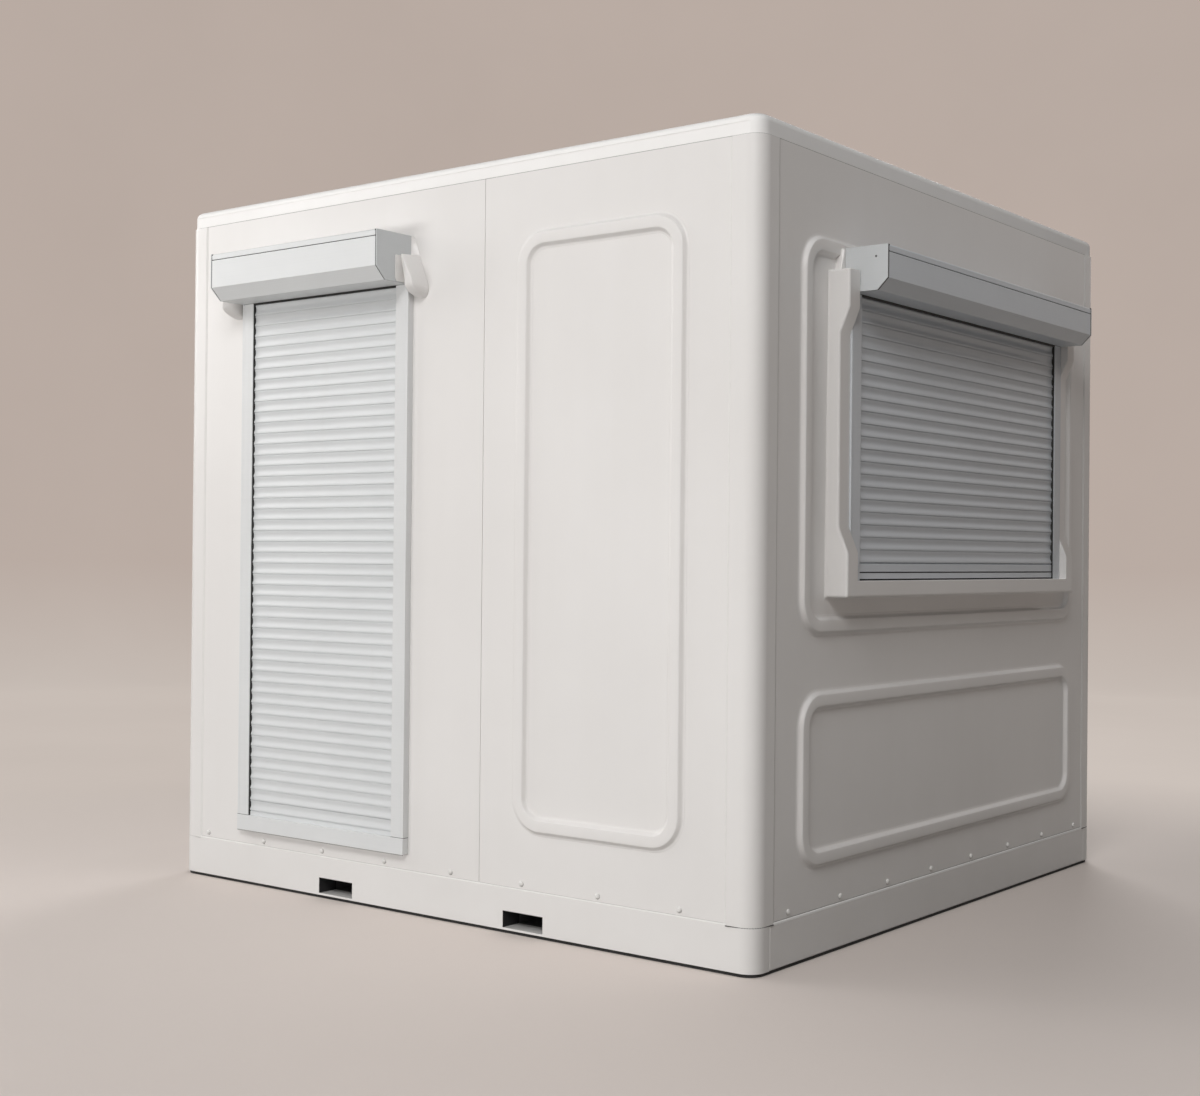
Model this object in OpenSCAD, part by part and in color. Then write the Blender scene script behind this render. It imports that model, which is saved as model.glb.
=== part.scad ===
/* [Pod] */
// Overall width along X, over the base and corner posts
pod_w = 2510; // [2200:10:3200]
// Overall depth along Y, over the base and corner posts
pod_d = 2466; // [2300:1:3200]
// Overall height from the ground to the top of the roof
pod_h = 2450; // [2430:5:2810]
// Radius of the four upright corners
corner_r = 53; // [30:1:65]

/* [Base] */
// Height of the base above the ground, up to the seam under the walls
base_h = 140; // [120:1:160]
// Height of the feet that hold the base's lower edge clear of the ground
foot_h = 10; // [6:1:16]
// How far the feet lie behind the base's outer faces
foot_inset = 28; // [15:1:40]
// Thickness of the base rails in plan
rail_w = 80; // [70:1:120]
// Clear width of each forklift pocket
fork_w = 163; // [120:1:220]
// Clear height of each forklift pocket
fork_h = 53; // [40:1:60]
// Material left under each forklift pocket
fork_lip = 7; // [5:0.5:10]
// Half the distance between the middles of the two pockets
fork_offset = 420; // [300:5:500]
// Distance that both pockets stand to the right of the middle
fork_shift = -20; // [-40:5:40]
// Wall thickness of the fork tubes
fork_tube_t = 5; // [3:0.5:5]
// Width of the bearer under the middle of the floor
bearer_w = 80; // [60:1:120]
// Thickness of the floor deck
deck_t = 50; // [30:1:55]

/* [Walls] */
// Thickness of the wall panels
wall_t = 50; // [30:1:60]
// How far the panel faces lie behind the base and posts
panel_setback = 3; // [1:0.5:6]
// Width of each corner post on either wall
post_leg = 98; // [85:1:120]
// Open joint between neighbouring panels and posts
panel_joint = 1.5; // [0.5:0.25:3]
// Distance from the pod's left edge to the joint in the front and back walls
joint_from_left = 1470; // [1360:1:1560]

/* [Roof] */
// Height of the roof cap
roof_h = 62; // [56:1:100]
// How far the cap's sides lie behind the corner posts
roof_inset = 5; // [2:0.5:10]
// Radius of the cap's upper edge
roof_edge_r = 24; // [5:1:45]
// Height of the shallow band let into the front and back of the cap
band_h = 38; // [10:1:44]
// Depth of that band
band_depth = 1.5; // [1:0.5:4]
// Distance from the end of the band to the pod's corner
band_end = 43; // [20:1:100]

/* [Raised ribs] */
// Width of a rib at its foot
rib_w = 66; // [50:1:80]
// Height of a rib off the panel
rib_h = 15; // [6:0.5:20]
// Width of the flat along the top of a rib
rib_flat = 30; // [10:1:40]
// How far the flanks of a rib are hollowed at the foot, 1 for an even slope
rib_hollow = 2.2; // [1:0.1:3]
// Outer corner radius of a ring of ribs
rib_corner_r = 115; // [85:1:120]
// Distance from the side edges of a front or back panel to its ring
rib_margin = 140; // [120:1:180]
// How far the tall rings stand off the middle of their panels
tall_ring_shift = -5; // [-10:1:10]
// Distance from the side edges of a side wall's panel to its rings
side_rib_margin = 122; // [115:1:150]
// Underside of the tall rings on the front and back walls
tall_ring_z0 = 317; // [290:1:410]
// Top of the tall rings on the front and back walls
tall_ring_z1 = 2206; // [1910:1:2260]
// Underside of the low rings on the side walls
low_ring_z0 = 265; // [250:1:310]
// Top of the low rings on the side walls
low_ring_z1 = 798; // [710:1:860]
// Underside of the high rings on the side walls
high_ring_z0 = 953; // [910:1:990]
// Top of the high rings on the side walls
high_ring_z1 = 2151; // [2135:1:2260]

/* [Door shutter] */
// Distance from the pod's left edge to the middle of the door shutter
door_from_left = 743; // [700:1:760]
// Width over the guides and box
door_w = 826; // [700:1:900]
// Bottom of the threshold
door_z0 = 198; // [190:1:240]
// Height of the threshold
threshold_h = 54; // [30:1:70]
// Depth of the threshold off the panel
threshold_d = 27; // [26:1:40]
// Underside of the shutter box
door_box_z = 2079; // [1910:1:2090]
// Height of the shutter box
door_box_h = 160; // [150:1:180]
// Depth of the shutter box
door_box_d = 172; // [160:1:190]
// Height of the slanted lower front of the box
door_box_cut = 42; // [20:1:60]

/* [Window shutter] */
// Width over the guides and box
window_w = 1578; // [1200:1:1600]
// Top of the sill
window_sill_z = 1120; // [1090:1:1210]
// Underside of the shutter box
window_box_z = 1987; // [1860:1:1990]
// Height of the shutter box
window_box_h = 135; // [125:1:140]
// Depth of the shutter box
window_box_d = 142; // [130:1:160]
// Height of the slanted lower front of the box
window_box_cut = 35; // [20:1:50]
// Thickness of the moulded pad behind the guides and box
pad_t = 24; // [10:1:30]

/* [Window surround] */
// Width of the moulded jamb beside each guide
jamb_w = 64; // [40:1:80]
// Height of the jamb off the wall
jamb_d = 43; // [32:1:45]
// Height of the sill and the horns off the wall
horn_d = 75; // [60:1:90]
// Thickness of the sill
sill_h = 50; // [30:1:60]
// Height of the lower horns above the sill
low_horn_h = 84; // [40:1:120]
// Distance that the upper horns reach below the box
high_horn_drop = 50; // [30:1:120]
// Height of the upper horns above the underside of the box
high_horn_rise = 63; // [30:1:90]
// Height over which a horn slopes back to the jamb
horn_slope = 76; // [40:1:120]

/* [Shutters] */
// Width of a guide rail
guide_w = 57; // [45:1:66]
// Depth of a guide rail
guide_d = 25; // [22:1:30]
// Sheet thickness of guides and boxes
sheet_t = 2; // [1:0.25:3]
// Reach of the curtain into each guide
guide_grip = 35; // [20:1:40]
// Height of one slat
slat_pitch = 38.4; // [30:0.2:55]
// Thickness of the curtain at the crest of a slat
slat_t = 9; // [7:0.5:11]
// Thickness of the curtain in the hollow of a slat
slat_neck = 4; // [3:0.5:6.5]
// Height of the smooth bar under the last slat
bottom_bar_h = 49; // [30:1:60]
// Height of the rubber seal under the bar
seal_h = 5; // [3:0.5:8]
// Thickness of a box end cap
end_cap_t = 4; // [2:0.5:6]
// Diameter of the axle in a box
axle_d = 60; // [40:1:70]
// Width of the slot that lets the curtain out of a box
box_slot = 26; // [24:1:32]
// Height of the lip over a box's front cover
box_lip = 20; // [10:1:30]

/* [Door brackets] */
// Width of a moulded bracket at its foot
bracket_foot = 82; // [50:1:90]
// Width of a moulded bracket at its top
bracket_head = 12; // [8:1:30]
// Height of the bracket's thin upper part off the panel
bracket_thin = 15; // [8:1:24]
// Height of its thick lower part off the panel
bracket_thick = 82; // [50:1:90]
// Height of the thick part above the underside of the box
bracket_rise = 82; // [40:1:100]
// Distance that a bracket reaches below the box
bracket_drop = 42; // [20:1:60]

/* [Screws] */
// Diameter of a screw head
screw_d = 15; // [8:0.5:16]
// Height of a screw head
screw_h = 5; // [2:0.5:6]
// Height of the screw line above the base seam
screw_rise = 23; // [14:1:40]
// Spacing of the screws
screw_pitch = 301; // [250:1:320]
// Number of screws along each wall
screw_count = 8; // [4:1:8]
// Distance from the pod's left edge to the first screw, front and back
screw_start_end = 143; // [120:1:220]
// Distance from the left edge to the first screw, side walls
screw_start_side = 182; // [120:1:220]

/* [Hidden] */

$fn = 64;
// Faces are numbered 0 front, 1 right, 2 back, 3 left
FRONT = 0;
RIGHT = 1;
BACK = 2;
LEFT = 3;
// Small overlap that fuses pieces of one solid
fuse = 1;
wall_z1 = pod_h - roof_h;
wall_h = wall_z1 - base_h;
half_w = pod_w / 2;
half_d = pod_d / 2;
fork_tube_w = fork_w + 2 * fork_tube_t;
fork_tube_h = fork_h + 2 * fork_tube_t;
// Joint between the two panels of the front and back walls
front_joint_x = -half_w + joint_from_left;
// Clear of the wall panels' inner faces
deck_gap = 0.3;
deck_w = pod_w - 2 * (panel_setback + wall_t + deck_gap);
deck_d = pod_d - 2 * (panel_setback + wall_t + deck_gap);
// Door shutter
door_x = -half_w + door_from_left;
door_clear_w = door_w - 2 * guide_w;
threshold_z1 = door_z0 + threshold_h;
// The opening starts a little below the threshold's top, behind it
door_hole_drop = 17;
door_hole_z0 = threshold_z1 - door_hole_drop;
// Window shutter and its surround
window_clear_w = window_w - 2 * guide_w;
frame_w = window_w + 2 * jamb_w;
low_horn_z1 = window_sill_z + low_horn_h;
high_horn_z0 = window_box_z - high_horn_drop;
high_horn_z1 = window_box_z + high_horn_rise;
window_box_z1 = window_box_z + window_box_h;
// A bracket's depth level with the box's underside and at its toe, as shares of its full depth
bracket_waist = 0.8;
bracket_toe = 0.5;
// Width of a bracket's lower edge, as a share of its full width
bracket_heel = 0.85;
// Moulded shoulder beside the box, wide on the horn and narrow at its top
shoulder_foot = 38;
shoulder_head = 10;
// Play of the curtain in the guide's channel, on either side
curtain_play = 0.5;
// The curtain runs in the middle of its guide
curtain_w0 = (guide_d - slat_t) / 2;
// How far the curtain reaches past a box's underside
curtain_top = 40;
// One slat's outer face from its upper joint down, as [share of pitch, share of depth]
slat_shape = [[0, 0.8], [0.16, 0.4], [0.42, 0], [0.68, 0.4], [0.9, 1], [0.94, 0.1], [0.98, 0.1]];
// Groove across the bottom bar
bar_groove_z = 18;
bar_groove = 2;
// Slope of a box's lower front
slant = 45;
// Joint between a box's lip and its front cover
cover_joint = 0.8;
// Height of an axle's middle above the middle of its box
axle_rise = 8;
rib_steps = 5;

function half_span(side) = side % 2 == 0 ? half_w : half_d;
function reach(side) = side % 2 == 0 ? half_d : half_w;

// Children in a wall's own frame: X along it from its middle, Y up, Z outwards
module on_face(side) {
    rotate([0, 0, 90 * side])
        translate([0, -(reach(side) - panel_setback), 0])
            rotate([90, 0, 0])
                children();
}

// Extrusion along a wall of a profile drawn as [up, outwards]
module along_wall(x0, x1) {
    translate([x0, 0, 0])
        rotate([90, 0, 90])
            linear_extrude(height = x1 - x0)
                children();
}

// ---- Base ----

// Height of the floor of the fork pockets
fork_z0 = foot_h + fork_lip;

// Plan of a front or back rail, with its two rounded outer corners
module end_rail_plan() {
    translate([-half_w + corner_r, -half_d])
        square([pod_w - 2 * corner_r, rail_w]);
    translate([-half_w, -half_d + corner_r])
        square([pod_w, rail_w - corner_r]);
    for (side = [-1, 1])
        translate([side * (half_w - corner_r), -half_d + corner_r])
            intersection() {
                circle(corner_r);
                translate([-corner_r, -corner_r]) square([2 * corner_r, corner_r]);
            }
}

module fork_mouths() {
    for (side = [-1, 1])
        translate([fork_shift + side * fork_offset - fork_w / 2, -half_d - fuse, fork_z0])
            cube([fork_w, rail_w + 2 * fuse, fork_h]);
}

// Rail with its foot along its inner side
module end_rail() {
    difference() {
        translate([0, 0, foot_h])
            linear_extrude(height = base_h - foot_h)
                end_rail_plan();
        fork_mouths();
    }
    translate([-half_w + foot_inset, -half_d + foot_inset, 0])
        cube([pod_w - 2 * foot_inset, rail_w - foot_inset, foot_h + fuse]);
}

module side_rail() {
    translate([-half_w, -half_d + rail_w, foot_h])
        cube([rail_w, pod_d - 2 * rail_w, base_h - foot_h]);
    translate([-half_w + foot_inset, -half_d + rail_w, 0])
        cube([rail_w - foot_inset, pod_d - 2 * rail_w, foot_h + fuse]);
}

module base_front() {
    color("whitesmoke") end_rail();
}

module base_back() {
    color("whitesmoke") mirror([0, 1, 0]) end_rail();
}

module base_left() {
    color("whitesmoke") side_rail();
}

module base_right() {
    color("whitesmoke") mirror([1, 0, 0]) side_rail();
}

module fork_tube() {
    length = pod_d - 2 * rail_w;
    difference() {
        translate([-fork_tube_w / 2, -length / 2, fork_z0 - fork_tube_t])
            cube([fork_tube_w, length, fork_tube_h]);
        translate([-fork_w / 2, -length / 2 - fuse, fork_z0])
            cube([fork_w, length + 2 * fuse, fork_h]);
    }
}

module fork_tube_left() {
    color("slategray") translate([fork_shift - fork_offset, 0, 0]) fork_tube();
}

module fork_tube_right() {
    color("slategray") translate([fork_shift + fork_offset, 0, 0]) fork_tube();
}

module floor_bearer() {
    length = pod_d - 2 * rail_w;
    color("whitesmoke")
        translate([-bearer_w / 2, -length / 2, 0])
            cube([bearer_w, length, base_h]);
}

module floor_deck() {
    color("gainsboro")
        translate([-deck_w / 2, -deck_d / 2, base_h])
            cube([deck_w, deck_d, deck_t]);
}

// ---- Corner posts ----

// L-shaped post with a rounded outer corner, at the front left
module corner_post() {
    leg_t = wall_t + panel_setback;
    translate([-half_w, -half_d, base_h])
        linear_extrude(height = wall_h)
            difference() {
                union() {
                    translate([corner_r, 0]) square([post_leg - corner_r, post_leg]);
                    translate([0, corner_r]) square([corner_r, post_leg - corner_r]);
                    intersection() {
                        translate([corner_r, corner_r]) circle(corner_r);
                        square(corner_r);
                    }
                }
                translate([leg_t, leg_t]) square(post_leg);
            }
}

module post_front_left() {
    color("whitesmoke") corner_post();
}

module post_front_right() {
    color("whitesmoke") mirror([1, 0, 0]) corner_post();
}

module post_back_left() {
    color("whitesmoke") mirror([0, 1, 0]) corner_post();
}

module post_back_right() {
    color("whitesmoke") mirror([1, 0, 0]) mirror([0, 1, 0]) corner_post();
}

// ---- Wall panels ----

// Height of a rib's flank a share t of the way up its slope
function flank(t) = rib_h * pow((1 - cos(180 * t)) / 2, rib_hollow);

function rib_section() = concat(
    [[0, -fuse]],
    [for (i = [0 : rib_steps]) [(rib_w - rib_flat) / 2 * i / rib_steps, flank(i / rib_steps)]],
    [for (i = [rib_steps : -1 : 0]) [rib_w - (rib_w - rib_flat) / 2 * i / rib_steps, flank(i / rib_steps)]],
    [[rib_w, -fuse]]
);

// One straight rib from the origin along X, its outer foot on the X axis
module rib_bar(length) {
    along_wall(0, length) polygon(rib_section());
}

// Quarter turn of rib around the origin, its outer foot at rib_corner_r
module rib_corner() {
    rotate([0, 0, 180])
        rotate_extrude(angle = 90)
            translate([rib_corner_r, 0])
                mirror([1, 0])
                    polygon(rib_section());
}

// Ring of ribs on a wall face, between two heights
module rib_ring(x0, x1, z0, z1) {
    w = x1 - x0;
    h = z1 - z0;
    translate([x0 + w / 2, z0 + h / 2, 0])
        for (turn = [0, 180])
            rotate([0, 0, turn]) {
                translate([-w / 2 + rib_corner_r, -h / 2, 0])
                    rib_bar(w - 2 * rib_corner_r);
                translate([w / 2, -h / 2 + rib_corner_r, 0])
                    rotate([0, 0, 90])
                        rib_bar(h - 2 * rib_corner_r);
                translate([-w / 2 + rib_corner_r, -h / 2 + rib_corner_r, 0])
                    rib_corner();
                translate([w / 2 - rib_corner_r, -h / 2 + rib_corner_r, 0])
                    rotate([0, 0, 90])
                        rib_corner();
            }
}

module panel_slab(x0, x1) {
    translate([x0, base_h, -wall_t])
        cube([x1 - x0, wall_h, wall_t]);
}

// Limits of the panels of a wall between its corner posts
function panel_end(side) = half_span(side) - post_leg - panel_joint;
left_panel_x1 = front_joint_x - panel_joint / 2;
right_panel_x0 = front_joint_x + panel_joint / 2;

module front_wall_door_panel() {
    color("whitesmoke") on_face(FRONT)
        difference() {
            panel_slab(-panel_end(FRONT), left_panel_x1);
            translate([door_x - door_clear_w / 2, door_hole_z0, -wall_t - fuse])
                cube([door_clear_w, door_box_z - door_hole_z0, wall_t + 2 * fuse]);
        }
}

module ribbed_panel(x0, x1) {
    panel_slab(x0, x1);
    rib_ring(
        x0 + rib_margin + tall_ring_shift,
        x1 - rib_margin + tall_ring_shift,
        tall_ring_z0,
        tall_ring_z1
    );
}

module front_wall_ribbed_panel() {
    color("whitesmoke") on_face(FRONT)
        ribbed_panel(right_panel_x0, panel_end(FRONT));
}

module back_wall_wide_panel() {
    color("whitesmoke") on_face(BACK)
        ribbed_panel(-left_panel_x1, panel_end(BACK));
}

module back_wall_narrow_panel() {
    color("whitesmoke") on_face(BACK)
        ribbed_panel(-panel_end(BACK), -right_panel_x0);
}

// Full-width side panel with a low ring and a high ring
module side_panel(side) {
    panel_slab(-panel_end(side), panel_end(side));
    end = panel_end(side) - side_rib_margin;
    rib_ring(-end, end, low_ring_z0, low_ring_z1);
    rib_ring(-end, end, high_ring_z0, high_ring_z1);
}

module left_wall() {
    color("whitesmoke") on_face(LEFT) side_panel(LEFT);
}

// The box pad and its shoulders stand on the bare panel, so the ring stops at them
module window_wall() {
    color("whitesmoke") on_face(RIGHT)
        difference() {
            side_panel(RIGHT);
            translate([-window_clear_w / 2, window_sill_z, -wall_t - fuse])
                cube([window_clear_w, window_box_z - window_sill_z, wall_t + 2 * fuse]);
            translate([-window_w / 2 - shoulder_foot, window_box_z, 0])
                cube([window_w + 2 * shoulder_foot, window_box_h, rib_h + fuse]);
        }
}

// ---- Roof ----

cap_w = pod_w - 2 * roof_inset;
cap_d = pod_d - 2 * roof_inset;
cap_r = corner_r - roof_inset;
cap_edge = min(roof_edge_r, cap_r - fuse);

// Half section of the cap's rim: upright side, then a quarter circle
module cap_rim() {
    square([cap_r - cap_edge, roof_h]);
    square([cap_r, roof_h - cap_edge]);
    translate([cap_r - cap_edge, roof_h - cap_edge])
        intersection() {
            circle(cap_edge);
            square(cap_edge);
        }
}

module cap_side(length) {
    translate([-length / 2, 0, 0])
        rotate([90, 0, 90])
            linear_extrude(height = length)
                mirror([1, 0]) cap_rim();
}

module roof_cap() {
    core_w = cap_w - 2 * cap_r;
    core_d = cap_d - 2 * cap_r;
    color("whitesmoke") translate([0, 0, wall_z1])
        difference() {
            union() {
                translate([-core_w / 2, -core_d / 2, 0])
                    cube([core_w, core_d, roof_h]);
                for (turn = [0, 180])
                    rotate([0, 0, turn]) {
                        translate([0, -core_d / 2, 0]) cap_side(core_w);
                        translate([core_w / 2, 0, 0]) rotate([0, 0, 90]) cap_side(core_d);
                    }
                for (sx = [0, 1])
                    for (sy = [0, 1])
                        mirror([sx, 0, 0])
                            mirror([0, sy, 0])
                                translate([core_w / 2, core_d / 2, 0])
                                    rotate_extrude(angle = 90) cap_rim();
            }
            for (turn = [0, 180])
                rotate([0, 0, turn])
                    translate([-half_w + band_end, -cap_d / 2 - fuse, -fuse])
                        cube([pod_w - 2 * band_end, band_depth + fuse, band_h + fuse]);
        }
}

// ---- Door brackets, threshold ----

// Right-hand bracket beside the door box, cut from its side view and its front view
module door_bracket() {
    top = door_box_z + door_box_h;
    foot = door_box_z - bracket_drop;
    translate([door_x + door_w / 2, 0, 0])
        intersection() {
            along_wall(0, bracket_foot)
                polygon([
                    [foot, 0],
                    [top, 0],
                    [top, bracket_thin],
                    [door_box_z + bracket_rise, bracket_thin],
                    [door_box_z + bracket_rise, bracket_thick],
                    [door_box_z, bracket_thick * bracket_waist],
                    [foot + bracket_drop / 2, bracket_thick * bracket_toe]
                ]);
            linear_extrude(height = bracket_thick)
                polygon([
                    [0, foot],
                    [bracket_foot * bracket_heel, foot],
                    [bracket_foot, foot + bracket_drop / 2],
                    [bracket_head, top],
                    [0, top]
                ]);
        }
}

module door_bracket_right() {
    color("whitesmoke") on_face(FRONT) door_bracket();
}

module door_bracket_left() {
    color("whitesmoke") on_face(FRONT)
        translate([2 * door_x, 0, 0]) mirror([1, 0, 0]) door_bracket();
}

module door_threshold() {
    color("gainsboro") on_face(FRONT)
        translate([door_x - door_w / 2, door_z0, 0])
            cube([door_w, threshold_h, threshold_d]);
}

// ---- Window surround ----

// Left jamb with its two horns, the pad under the guide and the shoulder beside the box
module window_frame() {
    translate([-window_w / 2, 0, 0]) {
        along_wall(-jamb_w, 0)
            polygon([
                [window_sill_z, 0],
                [high_horn_z1, 0],
                [high_horn_z1, horn_d],
                [high_horn_z0, horn_d],
                [high_horn_z0 - horn_slope, jamb_d],
                [low_horn_z1 + horn_slope, jamb_d],
                [low_horn_z1, horn_d],
                [window_sill_z, horn_d]
            ]);
        translate([-fuse, window_sill_z, 0])
            cube([guide_w + fuse, window_box_z - window_sill_z, pad_t]);
        linear_extrude(height = pad_t)
            polygon([
                [0, high_horn_z1 - fuse],
                [0, window_box_z1],
                [-shoulder_head, window_box_z1],
                [-shoulder_foot, high_horn_z1 - fuse]
            ]);
    }
}

module window_frame_left() {
    color("whitesmoke") on_face(RIGHT) window_frame();
}

module window_frame_right() {
    color("whitesmoke") on_face(RIGHT) mirror([1, 0, 0]) window_frame();
}

module window_sill() {
    color("whitesmoke") on_face(RIGHT)
        translate([-frame_w / 2, window_sill_z - sill_h, 0])
            cube([frame_w, sill_h, horn_d]);
}

module window_box_pad() {
    color("whitesmoke") on_face(RIGHT)
        translate([-window_w / 2, window_box_z, 0])
            cube([window_w, window_box_h, pad_t]);
}

// ---- Shutters, drawn in a wall's frame ----

// Left guide rail of a shutter, its channel open towards the curtain
module guide_rail(x, width, z0, z1) {
    slot_t = slat_t + 2 * curtain_play;
    translate([x - width / 2, z0, 0])
        difference() {
            cube([guide_w, z1 - z0, guide_d]);
            translate([guide_w - guide_grip - sheet_t, -fuse, (guide_d - slot_t) / 2])
                cube([guide_grip + sheet_t + fuse, z1 - z0 + 2 * fuse, slot_t]);
        }
}

// Half the length of a curtain, with its ends inside the guides
function curtain_reach(width) = width / 2 - guide_w + guide_grip;

// Curtain between two heights, as one extruded row of hollow slats
module curtain(x, width, z0, z1) {
    count = floor((z1 - z0) / slat_pitch);
    outline = concat(
        [[z0, 0], [z0, slat_neck]],
        [for (i = [0 : count - 1])
            for (j = [len(slat_shape) - 1 : -1 : 0])
                [z0 + slat_pitch * (i + 1 - slat_shape[j][0]),
                 slat_neck + (slat_t - slat_neck) * slat_shape[j][1]]],
        [[z1, slat_neck], [z1, 0]]
    );
    reach_x = curtain_reach(width);
    translate([0, 0, curtain_w0])
        along_wall(x - reach_x, x + reach_x)
            polygon(outline);
}

// Smooth bar with one groove, under the curtain
module bottom_bar(x, width, z0) {
    reach_x = curtain_reach(width);
    translate([x - reach_x, z0, curtain_w0])
        difference() {
            cube([2 * reach_x, bottom_bar_h, slat_t]);
            translate([-fuse, bar_groove_z, slat_t - bar_groove])
                cube([2 * (reach_x + fuse), bar_groove, bar_groove + fuse]);
        }
}

module seal(x, width, z0) {
    reach_x = curtain_reach(width);
    translate([x - reach_x, z0, curtain_w0])
        cube([2 * reach_x, seal_h, slat_t - bar_groove]);
}

// Outline of a shutter box as [up, outwards], shrunk by t on every side
module box_outline(depth, height, cut, t) {
    polygon([
        [t, t],
        [t, depth - cut - t * tan(slant / 2)],
        [cut + t * tan(slant / 2), depth - t],
        [height - t, depth - t],
        [height - t, t]
    ]);
}

module box_sheet(depth, height, cut) {
    difference() {
        box_outline(depth, height, cut, 0);
        box_outline(depth, height, cut, sheet_t);
        translate([-fuse, sheet_t])
            square([sheet_t + 2 * fuse, box_slot - sheet_t]);
    }
}

// Back, top and front lip of a box
module shutter_box(x, width, z0, depth, height, cut) {
    reach_x = width / 2 - end_cap_t;
    translate([0, z0, 0])
        along_wall(x - reach_x, x + reach_x)
            difference() {
                box_sheet(depth, height, cut);
                translate([-fuse, box_slot])
                    square([height - box_lip + fuse, depth]);
            }
}

// Front, slant and underside of a box, closed by one folded cover
module box_cover(x, width, z0, depth, height, cut) {
    reach_x = width / 2 - end_cap_t;
    translate([0, z0, 0])
        along_wall(x - reach_x, x + reach_x)
            intersection() {
                box_sheet(depth, height, cut);
                translate([0, box_slot])
                    square([height - box_lip - cover_joint, depth]);
            }
}

module box_caps(x, width, z0, depth, height, cut) {
    translate([0, z0, 0])
        for (end_x = [x - width / 2, x + width / 2 - end_cap_t])
            along_wall(end_x, end_x + end_cap_t)
                box_outline(depth, height, cut, 0);
}

module axle(x, width, z0, depth, height) {
    length = width - 2 * end_cap_t;
    translate([x - length / 2, z0 + height / 2 + axle_rise, depth / 2])
        rotate([0, 90, 0])
            cylinder(d = axle_d, h = length);
}

// ---- Door shutter ----

module door_guide_left() {
    color("lightgray") on_face(FRONT)
        guide_rail(door_x, door_w, threshold_z1, door_box_z);
}

module door_guide_right() {
    color("lightgray") on_face(FRONT)
        translate([2 * door_x, 0, 0])
            mirror([1, 0, 0])
                guide_rail(door_x, door_w, threshold_z1, door_box_z);
}

module door_seal() {
    color("dimgray") on_face(FRONT)
        seal(door_x, door_w, threshold_z1);
}

module door_bottom_bar() {
    color("gainsboro") on_face(FRONT)
        bottom_bar(door_x, door_w, threshold_z1 + seal_h);
}

module door_curtain() {
    color("gainsboro") on_face(FRONT)
        curtain(door_x, door_w, threshold_z1 + seal_h + bottom_bar_h, door_box_z + curtain_top);
}

module door_box() {
    color("lightgray") on_face(FRONT)
        shutter_box(door_x, door_w, door_box_z, door_box_d, door_box_h, door_box_cut);
}

module door_box_cover() {
    color("lightgray") on_face(FRONT)
        box_cover(door_x, door_w, door_box_z, door_box_d, door_box_h, door_box_cut);
}

module door_box_caps() {
    color("silver") on_face(FRONT)
        box_caps(door_x, door_w, door_box_z, door_box_d, door_box_h, door_box_cut);
}

module door_axle() {
    color("slategray") on_face(FRONT)
        axle(door_x, door_w, door_box_z, door_box_d, door_box_h);
}

// ---- Window shutter, standing on the pad of its surround ----

module on_pad() {
    on_face(RIGHT) translate([0, 0, pad_t]) children();
}

module window_guide_left() {
    color("lightgray") on_pad()
        guide_rail(0, window_w, window_sill_z, window_box_z);
}

module window_guide_right() {
    color("lightgray") on_pad()
        mirror([1, 0, 0])
            guide_rail(0, window_w, window_sill_z, window_box_z);
}

module window_seal() {
    color("dimgray") on_pad()
        seal(0, window_w, window_sill_z);
}

module window_bottom_bar() {
    color("gainsboro") on_pad()
        bottom_bar(0, window_w, window_sill_z + seal_h);
}

module window_curtain() {
    color("gainsboro") on_pad()
        curtain(0, window_w, window_sill_z + seal_h + bottom_bar_h, window_box_z + curtain_top);
}

module window_box() {
    color("lightgray") on_pad()
        shutter_box(0, window_w, window_box_z, window_box_d, window_box_h, window_box_cut);
}

module window_box_cover() {
    color("lightgray") on_pad()
        box_cover(0, window_w, window_box_z, window_box_d, window_box_h, window_box_cut);
}

module window_box_caps() {
    color("silver") on_pad()
        box_caps(0, window_w, window_box_z, window_box_d, window_box_h, window_box_cut);
}

module window_axle() {
    color("slategray") on_pad()
        axle(0, window_w, window_box_z, window_box_d, window_box_h);
}

// ---- Screws ----

// Domed head with a flat back
module screw_head() {
    ball_r = (pow(screw_d / 2, 2) + pow(screw_h, 2)) / (2 * screw_h);
    intersection() {
        translate([0, 0, screw_h - ball_r]) sphere(ball_r);
        cylinder(d = screw_d, h = screw_h);
    }
}

module screw_row(side) {
    start = side % 2 == 0 ? screw_start_end : screw_start_side;
    color("silver") on_face(side)
        for (i = [0 : screw_count - 1])
            translate([-half_span(side) + start + screw_pitch * i, base_h + screw_rise, 0])
                screw_head();
}

module base_screws() {
    for (side = [FRONT : LEFT])
        screw_row(side);
}

base_front();
base_back();
base_left();
base_right();
fork_tube_left();
fork_tube_right();
floor_bearer();
floor_deck();
post_front_left();
post_front_right();
post_back_left();
post_back_right();
front_wall_door_panel();
front_wall_ribbed_panel();
window_wall();
back_wall_wide_panel();
back_wall_narrow_panel();
left_wall();
roof_cap();
door_bracket_left();
door_bracket_right();
door_threshold();
door_guide_left();
door_guide_right();
door_curtain();
door_bottom_bar();
door_seal();
door_box();
door_box_cover();
door_box_caps();
door_axle();
window_frame_left();
window_frame_right();
window_sill();
window_box_pad();
window_guide_left();
window_guide_right();
window_curtain();
window_bottom_bar();
window_seal();
window_box();
window_box_cover();
window_box_caps();
window_axle();
base_screws();
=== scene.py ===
"""Looks of the office pod: moulded walls, roller shutters, small fittings, materials, light and camera."""

import math

import bmesh
import bpy
from mathutils import Matrix, Vector


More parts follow.
